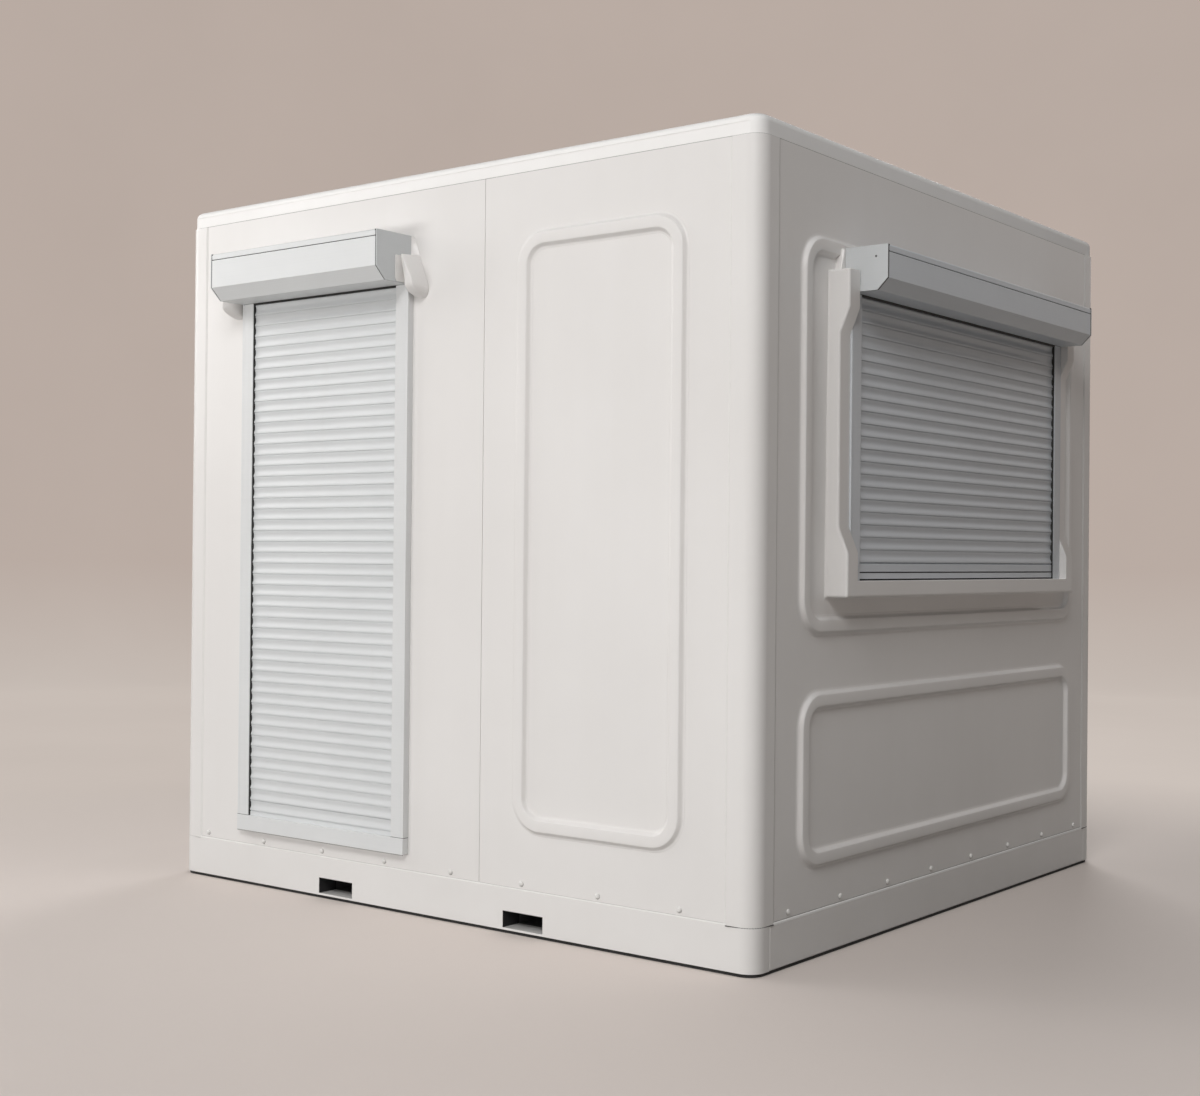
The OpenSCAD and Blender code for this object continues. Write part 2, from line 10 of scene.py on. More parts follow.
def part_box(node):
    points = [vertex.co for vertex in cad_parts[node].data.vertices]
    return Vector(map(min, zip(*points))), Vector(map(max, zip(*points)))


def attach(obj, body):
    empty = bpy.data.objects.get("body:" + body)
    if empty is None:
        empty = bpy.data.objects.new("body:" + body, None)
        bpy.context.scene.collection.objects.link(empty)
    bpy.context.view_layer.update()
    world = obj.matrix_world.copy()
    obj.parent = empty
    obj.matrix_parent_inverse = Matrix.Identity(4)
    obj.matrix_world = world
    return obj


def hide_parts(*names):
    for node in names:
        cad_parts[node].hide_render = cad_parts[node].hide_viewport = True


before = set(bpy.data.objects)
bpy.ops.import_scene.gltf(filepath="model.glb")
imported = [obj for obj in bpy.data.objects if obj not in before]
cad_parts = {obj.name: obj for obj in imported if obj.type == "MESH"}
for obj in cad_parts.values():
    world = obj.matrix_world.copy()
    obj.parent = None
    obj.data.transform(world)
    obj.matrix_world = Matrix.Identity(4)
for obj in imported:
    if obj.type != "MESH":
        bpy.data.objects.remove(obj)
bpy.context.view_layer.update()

MM = 0.001

# ------------------------ sizes, as in the part's source
RIB_W, RIB_H, RIB_FLAT, RIB_CORNER_R = 66 * MM, 15 * MM, 30 * MM, 115 * MM
RIB_MARGIN, SIDE_RIB_MARGIN, TALL_RING_SHIFT = 140 * MM, 122 * MM, -5 * MM
RIB_CROWN, RIB_HOLLOW, RIB_SUNK = 0.4 * MM, 2.2, 2 * MM
TALL_RING = (317 * MM, 2206 * MM)
LOW_RING = (265 * MM, 798 * MM)
HIGH_RING = (953 * MM, 2151 * MM)
WALL_T, PANEL_EDGE_R, DOORWAY_LAP = 50 * MM, 1.6 * MM, 17 * MM
HORN_D, JAMB_D, JAMB_W, PAD_T = 75 * MM, 43 * MM, 64 * MM, 24 * MM
SILL_H, LOW_HORN_H, HORN_SLOPE = 50 * MM, 84 * MM, 76 * MM
HIGH_HORN_DROP, HIGH_HORN_RISE = 50 * MM, 63 * MM
SHOULDER_FOOT, SHOULDER_HEAD = 38 * MM, 10 * MM
SURROUND_R, SURROUND_LIP_R, SURROUND_SEAM_R = 8 * MM, 2.2 * MM, 1.2 * MM
SLAT_PITCH, SLAT_T, SLAT_NECK = 38.4 * MM, 9 * MM, 4 * MM
GUIDE_GRIP, SHEET_T, BRISTLES = 35 * MM, 2 * MM, 2.5 * MM
GUIDE_D, GUIDE_LIP, GUIDE_GROOVE, GUIDE_MOUTH = 25 * MM, 3 * MM, 8 * MM, 9 * MM
BAR_GROOVE_Z, DOOR_BAR_SKIRT, SHADE_STRIP_H = 18 * MM, 4.9 * MM, 2.8 * MM
SCREW_D, SCREW_H = 15 * MM, 5 * MM
# Screw caps, and the low disc of painted shade that shows as a dark crescent under each
CAP_R, CAP_RISE, CAP_SHADE_R = 0.56 * SCREW_D, 1.45 * SCREW_H, 0.59 * SCREW_D
CAP_SHADE_RISE, CAP_SHADE_DROP = 0.8 * MM, 1.2 * MM
SCREW_PITCH, SCREW_COUNT, SCREW_START_END, SCREW_START_SIDE = 301 * MM, 8, 143 * MM, 182 * MM
POST_LEG, CORNER_R, FOOT_H, RAIL_W = 98 * MM, 53 * MM, 10 * MM, 80 * MM
BOX_SLOT, BOX_LIP, BOX_GAP, CAP_T = 26 * MM, 20 * MM, 2.6 * MM, 4 * MM
DOOR_BOX_CUT, WINDOW_BOX_CUT = 42 * MM, 35 * MM
DOOR_BOX_JOINT, WINDOW_BOX_JOINT = 3 * MM, 5.5 * MM
END_SCREW_DROP, END_SCREW_OUT = 34 * MM, 103 * MM
FRONT, RIGHT, BACK, LEFT = range(4)

# How far each wall's outer face, without its ribs, lies from the middle of the pod
SIDE_FACE = -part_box("left_wall")[0].x - RIB_H
FACE = {
    FRONT: -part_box("front_wall_door_panel")[0].y,
    RIGHT: SIDE_FACE,
    BACK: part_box("back_wall_wide_panel")[1].y - RIB_H,
    LEFT: SIDE_FACE,
}


def on_wall(side, u, v, w):
    """Point of a wall's own frame, u along it, v up, w outwards, in the row frame."""
    out = FACE[side] + w
    return Vector({FRONT: (u, -out, v), RIGHT: (out, u, v), BACK: (-u, out, v), LEFT: (-out, -u, v)}[side])


def lying(side, foot=0.0):
    """Places a section given as (up, outwards), foot off the wall, at a distance along the wall."""
    return lambda v, w, u: on_wall(side, u, v, foot + w)


def standing(side, foot=0.0):
    """Places a plan section given as (along, outwards), foot off the wall, at a height."""
    return lambda u, w, v: on_wall(side, u, v, foot + w)


def facing(side):
    """Places an outline given as (along, up) at a distance out of the wall."""
    return lambda u, v, w: on_wall(side, u, v, w)


def wall_span(node, side):
    """Limits of a node along its wall, in the wall's own direction."""
    low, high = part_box(node)
    return {
        FRONT: (low.x, high.x), RIGHT: (low.y, high.y), BACK: (-high.x, -low.x), LEFT: (-high.y, -low.y),
    }[side]


# ------------------------ mesh helpers
def smooth_step(t):
    """Share that starts and ends softly, for t from 0 to 1."""
    return (1 - math.cos(math.pi * t)) / 2


def add_prism(bm, outline, t0, t1, place):
    """Closed prism of a 2D outline between t0 and t1; place(a, b, t) gives each point."""
    ends = [[bm.verts.new(place(a, b, t)) for a, b in outline] for t in (t0, t1)]
    count = len(outline)
    for i in range(count):
        j = (i + 1) % count
        bm.faces.new((ends[0][i], ends[0][j], ends[1][j], ends[1][i]))
    bm.faces.new(ends[0])
    bm.faces.new(list(reversed(ends[1])))


def add_cells(bm, us, vs, w0, w1, side, hole=None):
    """Closed slab over a grid of cells of a wall, with one cell left open."""
    grid = {}

    def corner(i, j, k):
        if (i, j, k) not in grid:
            grid[i, j, k] = bm.verts.new(on_wall(side, us[i], vs[j], (w0, w1)[k]))
        return grid[i, j, k]

    cells = {(i, j) for i in range(len(us) - 1) for j in range(len(vs) - 1)} - {hole}
    for i, j in cells:
        for k in (0, 1):
            bm.faces.new([corner(a, b, k) for a, b in ((i, j), (i + 1, j), (i + 1, j + 1), (i, j + 1))])
        for (di, dj), (a, b) in (
            ((0, -1), ((i, j), (i + 1, j))),
            ((0, 1), ((i, j + 1), (i + 1, j + 1))),
            ((-1, 0), ((i, j), (i, j + 1))),
            ((1, 0), ((i + 1, j), (i + 1, j + 1))),
        ):
            if (i + di, j + dj) not in cells:
                bm.faces.new([corner(*a, 0), corner(*b, 0), corner(*b, 1), corner(*a, 1)])


def rib_section(steps=9):
    """Outline across a rib as (distance from its outer foot, height)."""
    slope = (RIB_W - RIB_FLAT) / 2
    up = [
        (slope * i / steps, (RIB_H - RIB_CROWN) * smooth_step(i / steps) ** RIB_HOLLOW)
        for i in range(steps + 1)
    ]
    crown = [
        (slope + RIB_FLAT * i / 4, RIB_H - RIB_CROWN * (1 - math.sin(math.pi * i / 4))) for i in range(1, 4)
    ]
    down = [(RIB_W - a, h) for a, h in reversed(up)]
    return [(0.0, -RIB_SUNK)] + up + crown + down + [(RIB_W, -RIB_SUNK)]


def add_ring(bm, side, u0, u1, v0, v1, turns=14):
    """Ring of rib round a rectangle with rounded corners, swept as one closed tube."""
    section = rib_section()
    centres = [
        (u0 + RIB_CORNER_R, v0 + RIB_CORNER_R, 180),
        (u1 - RIB_CORNER_R, v0 + RIB_CORNER_R, 270),
        (u1 - RIB_CORNER_R, v1 - RIB_CORNER_R, 0),
        (u0 + RIB_CORNER_R, v1 - RIB_CORNER_R, 90),
    ]
    rows = []
    for cu, cv, start in centres:
        for k in range(turns + 1):
            a = math.radians(start + 90 * k / turns)
            rows.append([
                on_wall(side, cu + (RIB_CORNER_R - d) * math.cos(a), cv + (RIB_CORNER_R - d) * math.sin(a), h)
                for d, h in section
            ])
    add_loop(bm, rows, closed=True)


def add_loop(bm, rows, closed=False, caps=True):
    """Skin over rows of points round one section, joined end to end or capped."""
    count = len(rows[0])
    verts = [[bm.verts.new(p) for p in row] for row in rows]
    pairs = list(zip(verts, verts[1:])) + ([(verts[-1], verts[0])] if closed else [])
    for row, after in pairs:
        for i in range(count):
            j = (i + 1) % count
            bm.faces.new((row[i], row[j], after[j], after[i]))
    if not closed:
        bm.faces.new(verts[0])
        if caps:
            bm.faces.new(list(reversed(verts[-1])))


def circle(count):
    """Cosine and sine of points evenly round a circle."""
    return [(math.cos(2 * math.pi * k / count), math.sin(2 * math.pi * k / count)) for k in range(count)]


def flat_edges(bm, least=25):
    """Edges where two faces meet at an angle."""
    bmesh.ops.recalc_face_normals(bm, faces=bm.faces)
    limit = math.radians(least)
    return [e for e in bm.edges if len(e.link_faces) == 2 and e.calc_face_angle(0) > limit]


def round_edges(bm, edges, radius, segments):
    """Round some edges of a mesh, if there are any."""
    if edges:
        bmesh.ops.bevel(
            bm, geom=edges, offset=radius, segments=segments, profile=0.5,
            affect="EDGES", clamp_overlap=True, loop_slide=True, offset_type="OFFSET")


def merge_flats(bm):
    """Weld points that coincide and join faces that lie in one plane."""
    bmesh.ops.remove_doubles(bm, verts=bm.verts, dist=0.01 * MM)
    bmesh.ops.dissolve_limit(bm, angle_limit=math.radians(0.5), verts=bm.verts, edges=bm.edges)


def linked(name, data):
    """New object, put into the scene."""
    obj = bpy.data.objects.new(name, data)
    bpy.context.scene.collection.objects.link(obj)
    return obj


def meshed(bm, name, material=None, smooth=False):
    """New object with a mesh made from bm, which is used up."""
    mesh = bpy.data.meshes.new(name)
    bm.to_mesh(mesh)
    bm.free()
    if material:
        mesh.materials.append(material)
    for polygon in mesh.polygons:
        polygon.use_smooth = smooth
    return linked(name, mesh)


def even_normals(obj):
    """Normals weighted by area, so that flat faces stay flat beside rounded edges."""
    normals = obj.modifiers.new("normals", "WEIGHTED_NORMAL")
    normals.mode = "FACE_AREA"
    normals.keep_sharp = False
    normals.weight = 90


def to_object(bm, name, material, nodes=(), smooth=True, weighted=True):
    """Finished piece: outward normals, smooth shading and its material; the CAD nodes it replaces are hidden.
    """
    bmesh.ops.recalc_face_normals(bm, faces=bm.faces)
    obj = meshed(bm, name, material, smooth)
    if smooth and weighted:
        even_normals(obj)
    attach(obj, "root")
    if nodes:
        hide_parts(*nodes)
    return obj


def soften(node, material, radius, segments=2):
    """A CAD node with its own shape, its edges rounded by modifiers."""
    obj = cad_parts[node]
    weld = obj.modifiers.new("weld", "WELD")
    weld.merge_threshold = 0.01 * MM
    flat = obj.modifiers.new("flat", "DECIMATE")
    flat.decimate_type = "DISSOLVE"
    flat.angle_limit = math.radians(0.5)
    bevel = obj.modifiers.new("bevel", "BEVEL")
    bevel.width = radius
    bevel.segments = segments
    bevel.limit_method = "ANGLE"
    bevel.angle_limit = math.radians(30)
    bevel.use_clamp_overlap = True
    even_normals(obj)
    paint(node, material)


def paint(node, material):
    """Give a CAD node its material."""
    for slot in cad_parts[node].material_slots:
        slot.material = material


# ------------------------ materials
class Nodes:
    """Short way of wiring a material's nodes."""

    def __init__(self, name):
        self.material = bpy.data.materials.new(name)
        self.material.use_nodes = True
        self.tree = self.material.node_tree
        self.shader = self.tree.nodes["Principled BSDF"]
        self.place = self.add("ShaderNodeTexCoord").outputs["Object"]
        self.last_normal = None

    def add(self, kind, **inputs):
        node = self.tree.nodes.new(kind)
        for key, value in inputs.items():
            self.put(node.inputs[key], value)
        return node

    def put(self, socket, value):
        if isinstance(value, bpy.types.NodeSocket):
            self.tree.links.new(value, socket)
        else:
            socket.default_value = value

    def stretched(self, x, y, z):
        mapping = self.add("ShaderNodeMapping", Vector=self.place)
        mapping.inputs["Scale"].default_value = (x, y, z)
        return mapping.outputs["Vector"]

    def noise(self, scale, detail=3, rough=0.5, vector=None):
        node = self.add("ShaderNodeTexNoise", Vector=vector or self.place)
        node.inputs["Scale"].default_value = scale
        node.inputs["Detail"].default_value = detail
        node.inputs["Roughness"].default_value = rough
        return node.outputs["Fac"]

    def range(self, value, low, high, to_low, to_high):
        node = self.add("ShaderNodeMapRange", Value=value)
        for key, number in (("From Min", low), ("From Max", high), ("To Min", to_low), ("To Max", to_high)):
            node.inputs[key].default_value = number
        return node.outputs["Result"]

    def math(self, kind, a, b):
        node = self.tree.nodes.new("ShaderNodeMath")
        node.operation = kind
        self.put(node.inputs[0], a)
        self.put(node.inputs[1], b)
        return node.outputs[0]

    def mix(self, share, a, b):
        node = self.tree.nodes.new("ShaderNodeMix")
        node.data_type = "RGBA"
        self.put(node.inputs[0], share)
        self.put(node.inputs[6], (*a, 1) if isinstance(a, tuple) else a)
        self.put(node.inputs[7], (*b, 1) if isinstance(b, tuple) else b)
        return node.outputs[2]

    def height(self):
        return self.add("ShaderNodeSeparateXYZ", Vector=self.place).outputs["Z"]

    def bump(self, height, depth):
        node = self.add("ShaderNodeBump", Height=height)
        node.inputs["Distance"].default_value = depth
        if self.last_normal is not None:
            self.tree.links.new(self.last_normal, node.inputs["Normal"])
        self.last_normal = node.outputs["Normal"]

    def finish(self, colour, roughness, **constants):
        self.put(self.shader.inputs["Base Color"], (*colour, 1) if isinstance(colour, tuple) else colour)
        self.put(self.shader.inputs["Roughness"], roughness)
        for key, value in constants.items():
            self.shader.inputs[key.replace("_", " ")].default_value = value
        if self.last_normal is not None:
            self.tree.links.new(self.last_normal, self.shader.inputs["Normal"])
        return self.material


def gelcoat(name, light, dark, coat=0.25, matt=0.0):
    """Moulded gelcoat: faintly clouded, slightly wavy, a little dusty towards the ground."""
    n = Nodes(name)
    cloud = n.noise(1.3, 4, 0.55)
    colour = n.mix(n.range(cloud, 0.35, 0.65, 0.0, 1.0), light, dark)
    dust = n.math("MULTIPLY", n.range(n.height(), 0.0, 0.5, 1.0, 0.0), n.noise(5, 5, 0.6))
    colour = n.mix(n.range(dust, 0.1, 0.8, 0.0, 0.16), colour, (0.62, 0.585, 0.545))
    streak = n.noise(1.0, 3, 0.5, n.stretched(14, 14, 0.8))
    colour = n.mix(n.range(streak, 0.45, 0.8, 0.0, 0.05), colour, (0.66, 0.63, 0.59))
    satin = n.range(n.noise(2.4, 4, 0.6), 0.3, 0.7, 0.36 + matt, 0.42 + matt)
    rough = n.math("ADD", satin, n.range(dust, 0.2, 0.9, 0.0, 0.1))
    n.bump(n.noise(1.0, 1, 0.4, n.stretched(2.4, 2.4, 0.8)), 0.35 * MM)
    n.bump(n.noise(160, 1, 0.4), 0.012 * MM)
    return n.finish(colour, rough, Coat_Weight=coat, Coat_Roughness=0.22, Coat_IOR=1.5, IOR=1.48)


def shutter_paint(name, light, dark, rough_low=0.34, rough_high=0.46):
    """Powder coat on rolled aluminium, with faint lines along the extrusion."""
    n = Nodes(name)
    lines = n.noise(1.0, 3, 0.6, n.stretched(1.5, 1.5, 260))
    cloud = n.noise(3.2, 5, 0.6)
    colour = n.mix(n.range(cloud, 0.3, 0.7, 0.0, 1.0), light, dark)
    colour = n.mix(n.range(lines, 0.45, 0.8, 0.0, 0.16), colour, tuple(c * 0.86 for c in dark))
    grime = n.noise(7, 6, 0.7, n.stretched(1, 1, 0.25))
    colour = n.mix(n.range(grime, 0.62, 0.9, 0.0, 0.22), colour, (0.55, 0.53, 0.50))
    rough = n.range(n.noise(40, 3, 0.6), 0.3, 0.7, rough_low, rough_high)
    n.bump(n.noise(900, 2, 0.5), 0.012 * MM)
    n.bump(lines, 0.02 * MM)
    return n.finish(colour, rough, Coat_Weight=0.12, Coat_Roughness=0.2, IOR=1.45)


def rubber(name):
    """Black rubber or brush, dull and slightly uneven."""
    n = Nodes(name)
    colour = n.mix(n.noise(60, 4, 0.6), (0.012, 0.012, 0.013), (0.035, 0.034, 0.033))
    n.bump(n.noise(900, 2, 0.6), 0.05 * MM)
    return n.finish(colour, n.range(n.noise(80), 0.3, 0.7, 0.72, 0.9))


def steel(name, light, dark):
    """Primed steel with a little rust."""
    n = Nodes(name)
    colour = n.mix(n.noise(14, 5, 0.65), light, dark)
    rust = n.noise(26, 8, 0.75)
    colour = n.mix(n.range(rust, 0.6, 0.72, 0.0, 0.55), colour, (0.16, 0.09, 0.055))
    n.bump(rust, 0.15 * MM)
    return n.finish(colour, n.range(n.noise(50), 0.3, 0.7, 0.45, 0.65), Metallic=0.6)


def floor_sheet(name):
    """Speckled, grained floor covering."""
    n = Nodes(name)
    colour = n.mix(n.noise(30, 6, 0.7), (0.28, 0.29, 0.30), (0.40, 0.41, 0.42))
    n.bump(n.noise(420, 2, 0.5), 0.2 * MM)
    return n.finish(colour, n.range(n.noise(60), 0.3, 0.7, 0.55, 0.75))


def sealant(name, dark, light):
    """Smeared sealant or the dull depth of a gap; also flat tones for strips of painted shade and painted
    highlight.
    """
    n = Nodes(name)
    grain = n.noise(50, 4, 0.6)
    n.bump(grain, 0.1 * MM)
    return n.finish(n.mix(grain, dark, light), n.range(grain, 0.3, 0.7, 0.6, 0.8))


GELCOAT = gelcoat("gelcoat", (0.803, 0.785, 0.770), (0.773, 0.754, 0.738))
ROOF = gelcoat("roof_gelcoat", (0.905, 0.893, 0.880), (0.875, 0.862, 0.848), coat=0.0, matt=0.14)
# The window's shutter paint is a darker, cooler copy of the door's: painted shade and the cool light of the
# shaded window wall.
SHUTTER = {
    FRONT: shutter_paint("shutter_paint", (0.765, 0.778, 0.780), (0.735, 0.748, 0.751)),
    RIGHT: shutter_paint("shaded_shutter_paint", (0.673, 0.708, 0.745), (0.647, 0.681, 0.717)),
}
# The window's slat paint is a darker, cooler copy of the door's: painted shade.
SLATS = {
    FRONT: shutter_paint("slat_paint", (0.685, 0.701, 0.708), (0.652, 0.668, 0.676)),
    RIGHT: shutter_paint("shaded_slat_paint", (0.617, 0.648, 0.683), (0.587, 0.618, 0.652)),
}
END_PLATE = shutter_paint("end_plate_paint", (0.600, 0.618, 0.626), (0.570, 0.588, 0.597))
# The window's trim paint is a darker, cooler copy of the door's: painted shade.
TRIM = {
    FRONT: shutter_paint("trim_paint", (0.725, 0.733, 0.734), (0.692, 0.700, 0.702), 0.32, 0.44),
    RIGHT: shutter_paint("shaded_trim_paint", (0.653, 0.678, 0.708), (0.623, 0.648, 0.677), 0.32, 0.44),
}
RUBBER = rubber("black_rubber")
STEEL = steel("primed_steel", (0.20, 0.20, 0.21), (0.13, 0.13, 0.135))
DECK = floor_sheet("floor_sheet")
CAPS = gelcoat("cap_plastic", (0.80, 0.79, 0.775), (0.74, 0.73, 0.71))
SEALANT = sealant("joint_sealant", (0.72, 0.705, 0.685), (0.80, 0.785, 0.765))
# Whiter than the gelcoat: a painted highlight along the base's ledge.
HIGHLIGHT_SEALANT = sealant("white_sealant_painted_highlight", (0.90, 0.89, 0.875), (0.94, 0.93, 0.915))
# Dark grey for hairline gaps, and for strips of painted shade under the screw caps, under the threshold and
# above the ledge beads.
HAIRLINE = sealant("hairline_gap_and_shade", (0.30, 0.29, 0.28), (0.38, 0.37, 0.36))
# Mid grey: the fainter line of painted shade at the front's ledge, and the front-left post seam, a paler copy
# of the dark seams as painted light.
MID_GREY_LINE = sealant("mid_grey_painted_line", (0.56, 0.545, 0.53), (0.64, 0.625, 0.61))
DARK_SEALANT = sealant("dark_sealant", (0.05, 0.048, 0.046), (0.10, 0.096, 0.09))
# Near-black paint for the sheets of painted shade inside the forklift pockets.
POCKET_SHADE_PAINT = sealant("near_black_pocket_shade", (0.010, 0.010, 0.011), (0.028, 0.028, 0.030))


# ------------------------ walls
def wall_slab(node, side):
    """Bare slab of a panel, its edges rounded where panels meet."""
    bm = bmesh.new()
    low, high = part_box(node)
    span = wall_span(node, side)
    add_cells(bm, span, (low.z, high.z), -WALL_T, 0, side)
    round_edges(bm, flat_edges(bm), PANEL_EDGE_R, 3)
    return bm


def ribbed_panel(node, side, rings):
    """Panel with a raised ring for each pair of heights."""
    bm = wall_slab(node, side)
    u0, u1 = wall_span(node, side)
    margin, shift = (RIB_MARGIN, TALL_RING_SHIFT) if side in (FRONT, BACK) else (SIDE_RIB_MARGIN, 0)
    for v0, v1 in rings:
        add_ring(bm, side, u0 + margin + shift, u1 - margin + shift, v0, v1)
    to_object(bm, node + "_moulding", GELCOAT, [node])


def door_panel():
    """Panel round the doorway."""
    bm = bmesh.new()
    low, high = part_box("front_wall_door_panel")
    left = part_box("door_guide_left")[1].x
    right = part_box("door_guide_right")[0].x
    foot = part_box("door_threshold")[1].z - DOORWAY_LAP
    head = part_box("door_box")[0].z
    add_cells(bm, (low.x, left, right, high.x), (low.z, foot, head, high.z), -WALL_T, 0, FRONT, (1, 1))
    merge_flats(bm)
    round_edges(bm, flat_edges(bm), PANEL_EDGE_R, 3)
    to_object(bm, "door_panel_moulding", GELCOAT, ["front_wall_door_panel"])


def fused(shells):
    """Union of several closed shells, as one bmesh."""
    for bm in shells:
        bmesh.ops.recalc_face_normals(bm, faces=bm.faces)
    objects = [meshed(bm, "scratch") for bm in shells]
    base = objects[0]
    for other in objects[1:]:
        union = base.modifiers.new("union", "BOOLEAN")
        union.operation = "UNION"
        union.solver = "EXACT"
        union.object = other
    bpy.context.view_layer.update()
    graph = bpy.context.evaluated_depsgraph_get()
    result = bmesh.new()
    result.from_mesh(base.evaluated_get(graph).to_mesh())
    for obj in objects:
        bpy.data.objects.remove(obj)
    return result


def prism(outline, t0, t1, place):
    """Prism as a shell of its own."""
    bm = bmesh.new()
    add_prism(bm, outline, t0, t1, place)
    return bm


def window_moulding():
    """Window wall with its surround moulded in one: jambs, horns, sill, pad behind the shutter."""
    low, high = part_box("window_wall")
    y0, y1 = wall_span("window_wall", RIGHT)
    box_low, box_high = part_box("window_box_caps")
    guide_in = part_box("window_guide_left")[1].y
    half = box_high.y
    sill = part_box("window_sill")[1].z
    under, top = box_low.z, box_high.z
    low_end, top_end, deep = sill - SILL_H, under + HIGH_HORN_RISE, -WALL_T / 2
    slab = bmesh.new()
    add_cells(
        slab, (y0, guide_in, -guide_in, y1), (low.z, sill, under, high.z), -WALL_T, 0, RIGHT, (1, 1))
    shells = [slab]
    horn_low, horn_high = sill + LOW_HORN_H, under - HIGH_HORN_DROP
    jamb = [
        (low_end, deep),
        (top_end, deep),
        (top_end, HORN_D),
        (horn_high, HORN_D),
        (horn_high - HORN_SLOPE, JAMB_D),
        (horn_low + HORN_SLOPE, JAMB_D),
        (horn_low, HORN_D),
        (low_end, HORN_D),
    ]
    shoulder = [(half, under), (half, top), (half + SHOULDER_HEAD, top), (half + SHOULDER_FOOT, under)]
    behind_guide = [(-guide_in, sill), (-guide_in, top), (half, top), (half, sill)]
    for sign in (-1, 1):
        shells.append(prism(jamb, sign * half, sign * (half + JAMB_W), lying(RIGHT)))
        shells.append(prism([(sign * u, v) for u, v in shoulder], deep, PAD_T, facing(RIGHT)))
        shells.append(prism([(sign * u, v) for u, v in behind_guide], deep, PAD_T, facing(RIGHT)))
    ledge = [(-half, low_end), (half, low_end), (half, sill), (-half, sill)]
    shells.append(prism(ledge, deep, HORN_D, facing(RIGHT)))
    behind_box = [(guide_in, under), (-guide_in, under), (-guide_in, top), (guide_in, top)]
    shells.append(prism(behind_box, deep, PAD_T, facing(RIGHT)))
    bm = fused(shells)
    merge_flats(bm)
    face, near, clear = FACE[RIGHT], 0.1 * MM, 1 * MM

    def outer(edge):
        """An edge of the surround's outer side, which is rounded generously."""
        a, b = (v.co for v in edge.verts)
        away = min(abs(a.y), abs(b.y)) > half + clear or max(a.z, b.z) < sill - clear
        proud = max(a.x, b.x) > face + clear
        return away and proud

    def foot(edge):
        """An edge where the surround's outer side meets the wall."""
        ends = [v.co for v in edge.verts]
        on_face = all(abs(c.x - face) < near for c in ends)
        beside = all(abs(abs(c.y) - half - JAMB_W) < near for c in ends)
        below = all(abs(c.z - low_end) < near for c in ends)
        return on_face and (beside or below)

    def inner(edge):
        """An edge that stands proud of the pad."""
        return max(v.co.x for v in edge.verts) > face + PAD_T + clear

    round_edges(bm, [e for e in flat_edges(bm) if outer(e) or foot(e)], SURROUND_R, 5)
    round_edges(bm, [e for e in flat_edges(bm, 40) if inner(e)], SURROUND_LIP_R, 3)
    round_edges(bm, flat_edges(bm, 60), SURROUND_SEAM_R, 2)
    for v0, v1 in (LOW_RING, HIGH_RING):
        add_ring(bm, RIGHT, y0 + SIDE_RIB_MARGIN, y1 - SIDE_RIB_MARGIN, v0, v1)
    to_object(
        bm, "window_wall_moulding", GELCOAT,
        ["window_wall", "window_frame_left", "window_frame_right", "window_sill", "window_box_pad"])


# ------------------------ joints, beads and painted shade lines
# Sections in millimetres: the post bead's as (away from the post, outwards), the others' as (up, outwards)
POST_BEAD = [(-1.6, -4), (-1.6, 2.5), (0.8, 2.1), (5.2, 0.3), (5.2, -0.6), (1, -4)]
LEDGE_BEAD = [(-2.5, -1), (-2.5, 2.9), (1.5, 2.9), (5.0, 0.8), (5.0, -1)]
# Thin strip of painted shade above the ledge bead.
LEDGE_SHADE_LINE = [(5.0, -1), (5.0, 0.3), (7.0, 0.3), (7.0, -1)]
PANEL_JOINT_HALF, PANEL_JOINT_SUNK, PANEL_JOINT_DEEP, BEAD_SHORT = 3 * MM, 6 * MM, 20 * MM, 1 * MM
CORNER_STEPS, CORNER_SEAM_IN, CORNER_SEAM_DEEP = 10, 0.2 * MM, 4 * MM
CORNER_SEAM_BELOW, CORNER_SEAM_ABOVE = 1.1 * MM, 0.9 * MM
ROOF_SEAL_IN, ROOF_SEAL_W, ROOF_SEAL_HALF = 4.1 * MM, 6 * MM, 1.6 * MM
# Black rubber band under the base, which also stands in for the shade of the gap beneath it
GASKET_SHADE_IN, GASKET_SHADE_W, GASKET_SHADE_CLEAR, GASKET_SHADE_LAP = 5 * MM, 8 * MM, 0.4 * MM, 0.6 * MM
# Wall of the forklift tubes, and the thickness and set-in of the sheets of painted shade in their mouths
TUBE_WALL, POCKET_SHADE_SHEET_T, POCKET_SHADE_SHEET_IN = 5 * MM, 1.2 * MM, 1.5 * MM


def trim(bm, name, material=None):
    """Flat-shaded seal, brush, bead of sealant or gap, or strip of painted shade or highlight; black rubber
    unless a material is given.
    """
    to_object(bm, name, material or RUBBER, smooth=False)


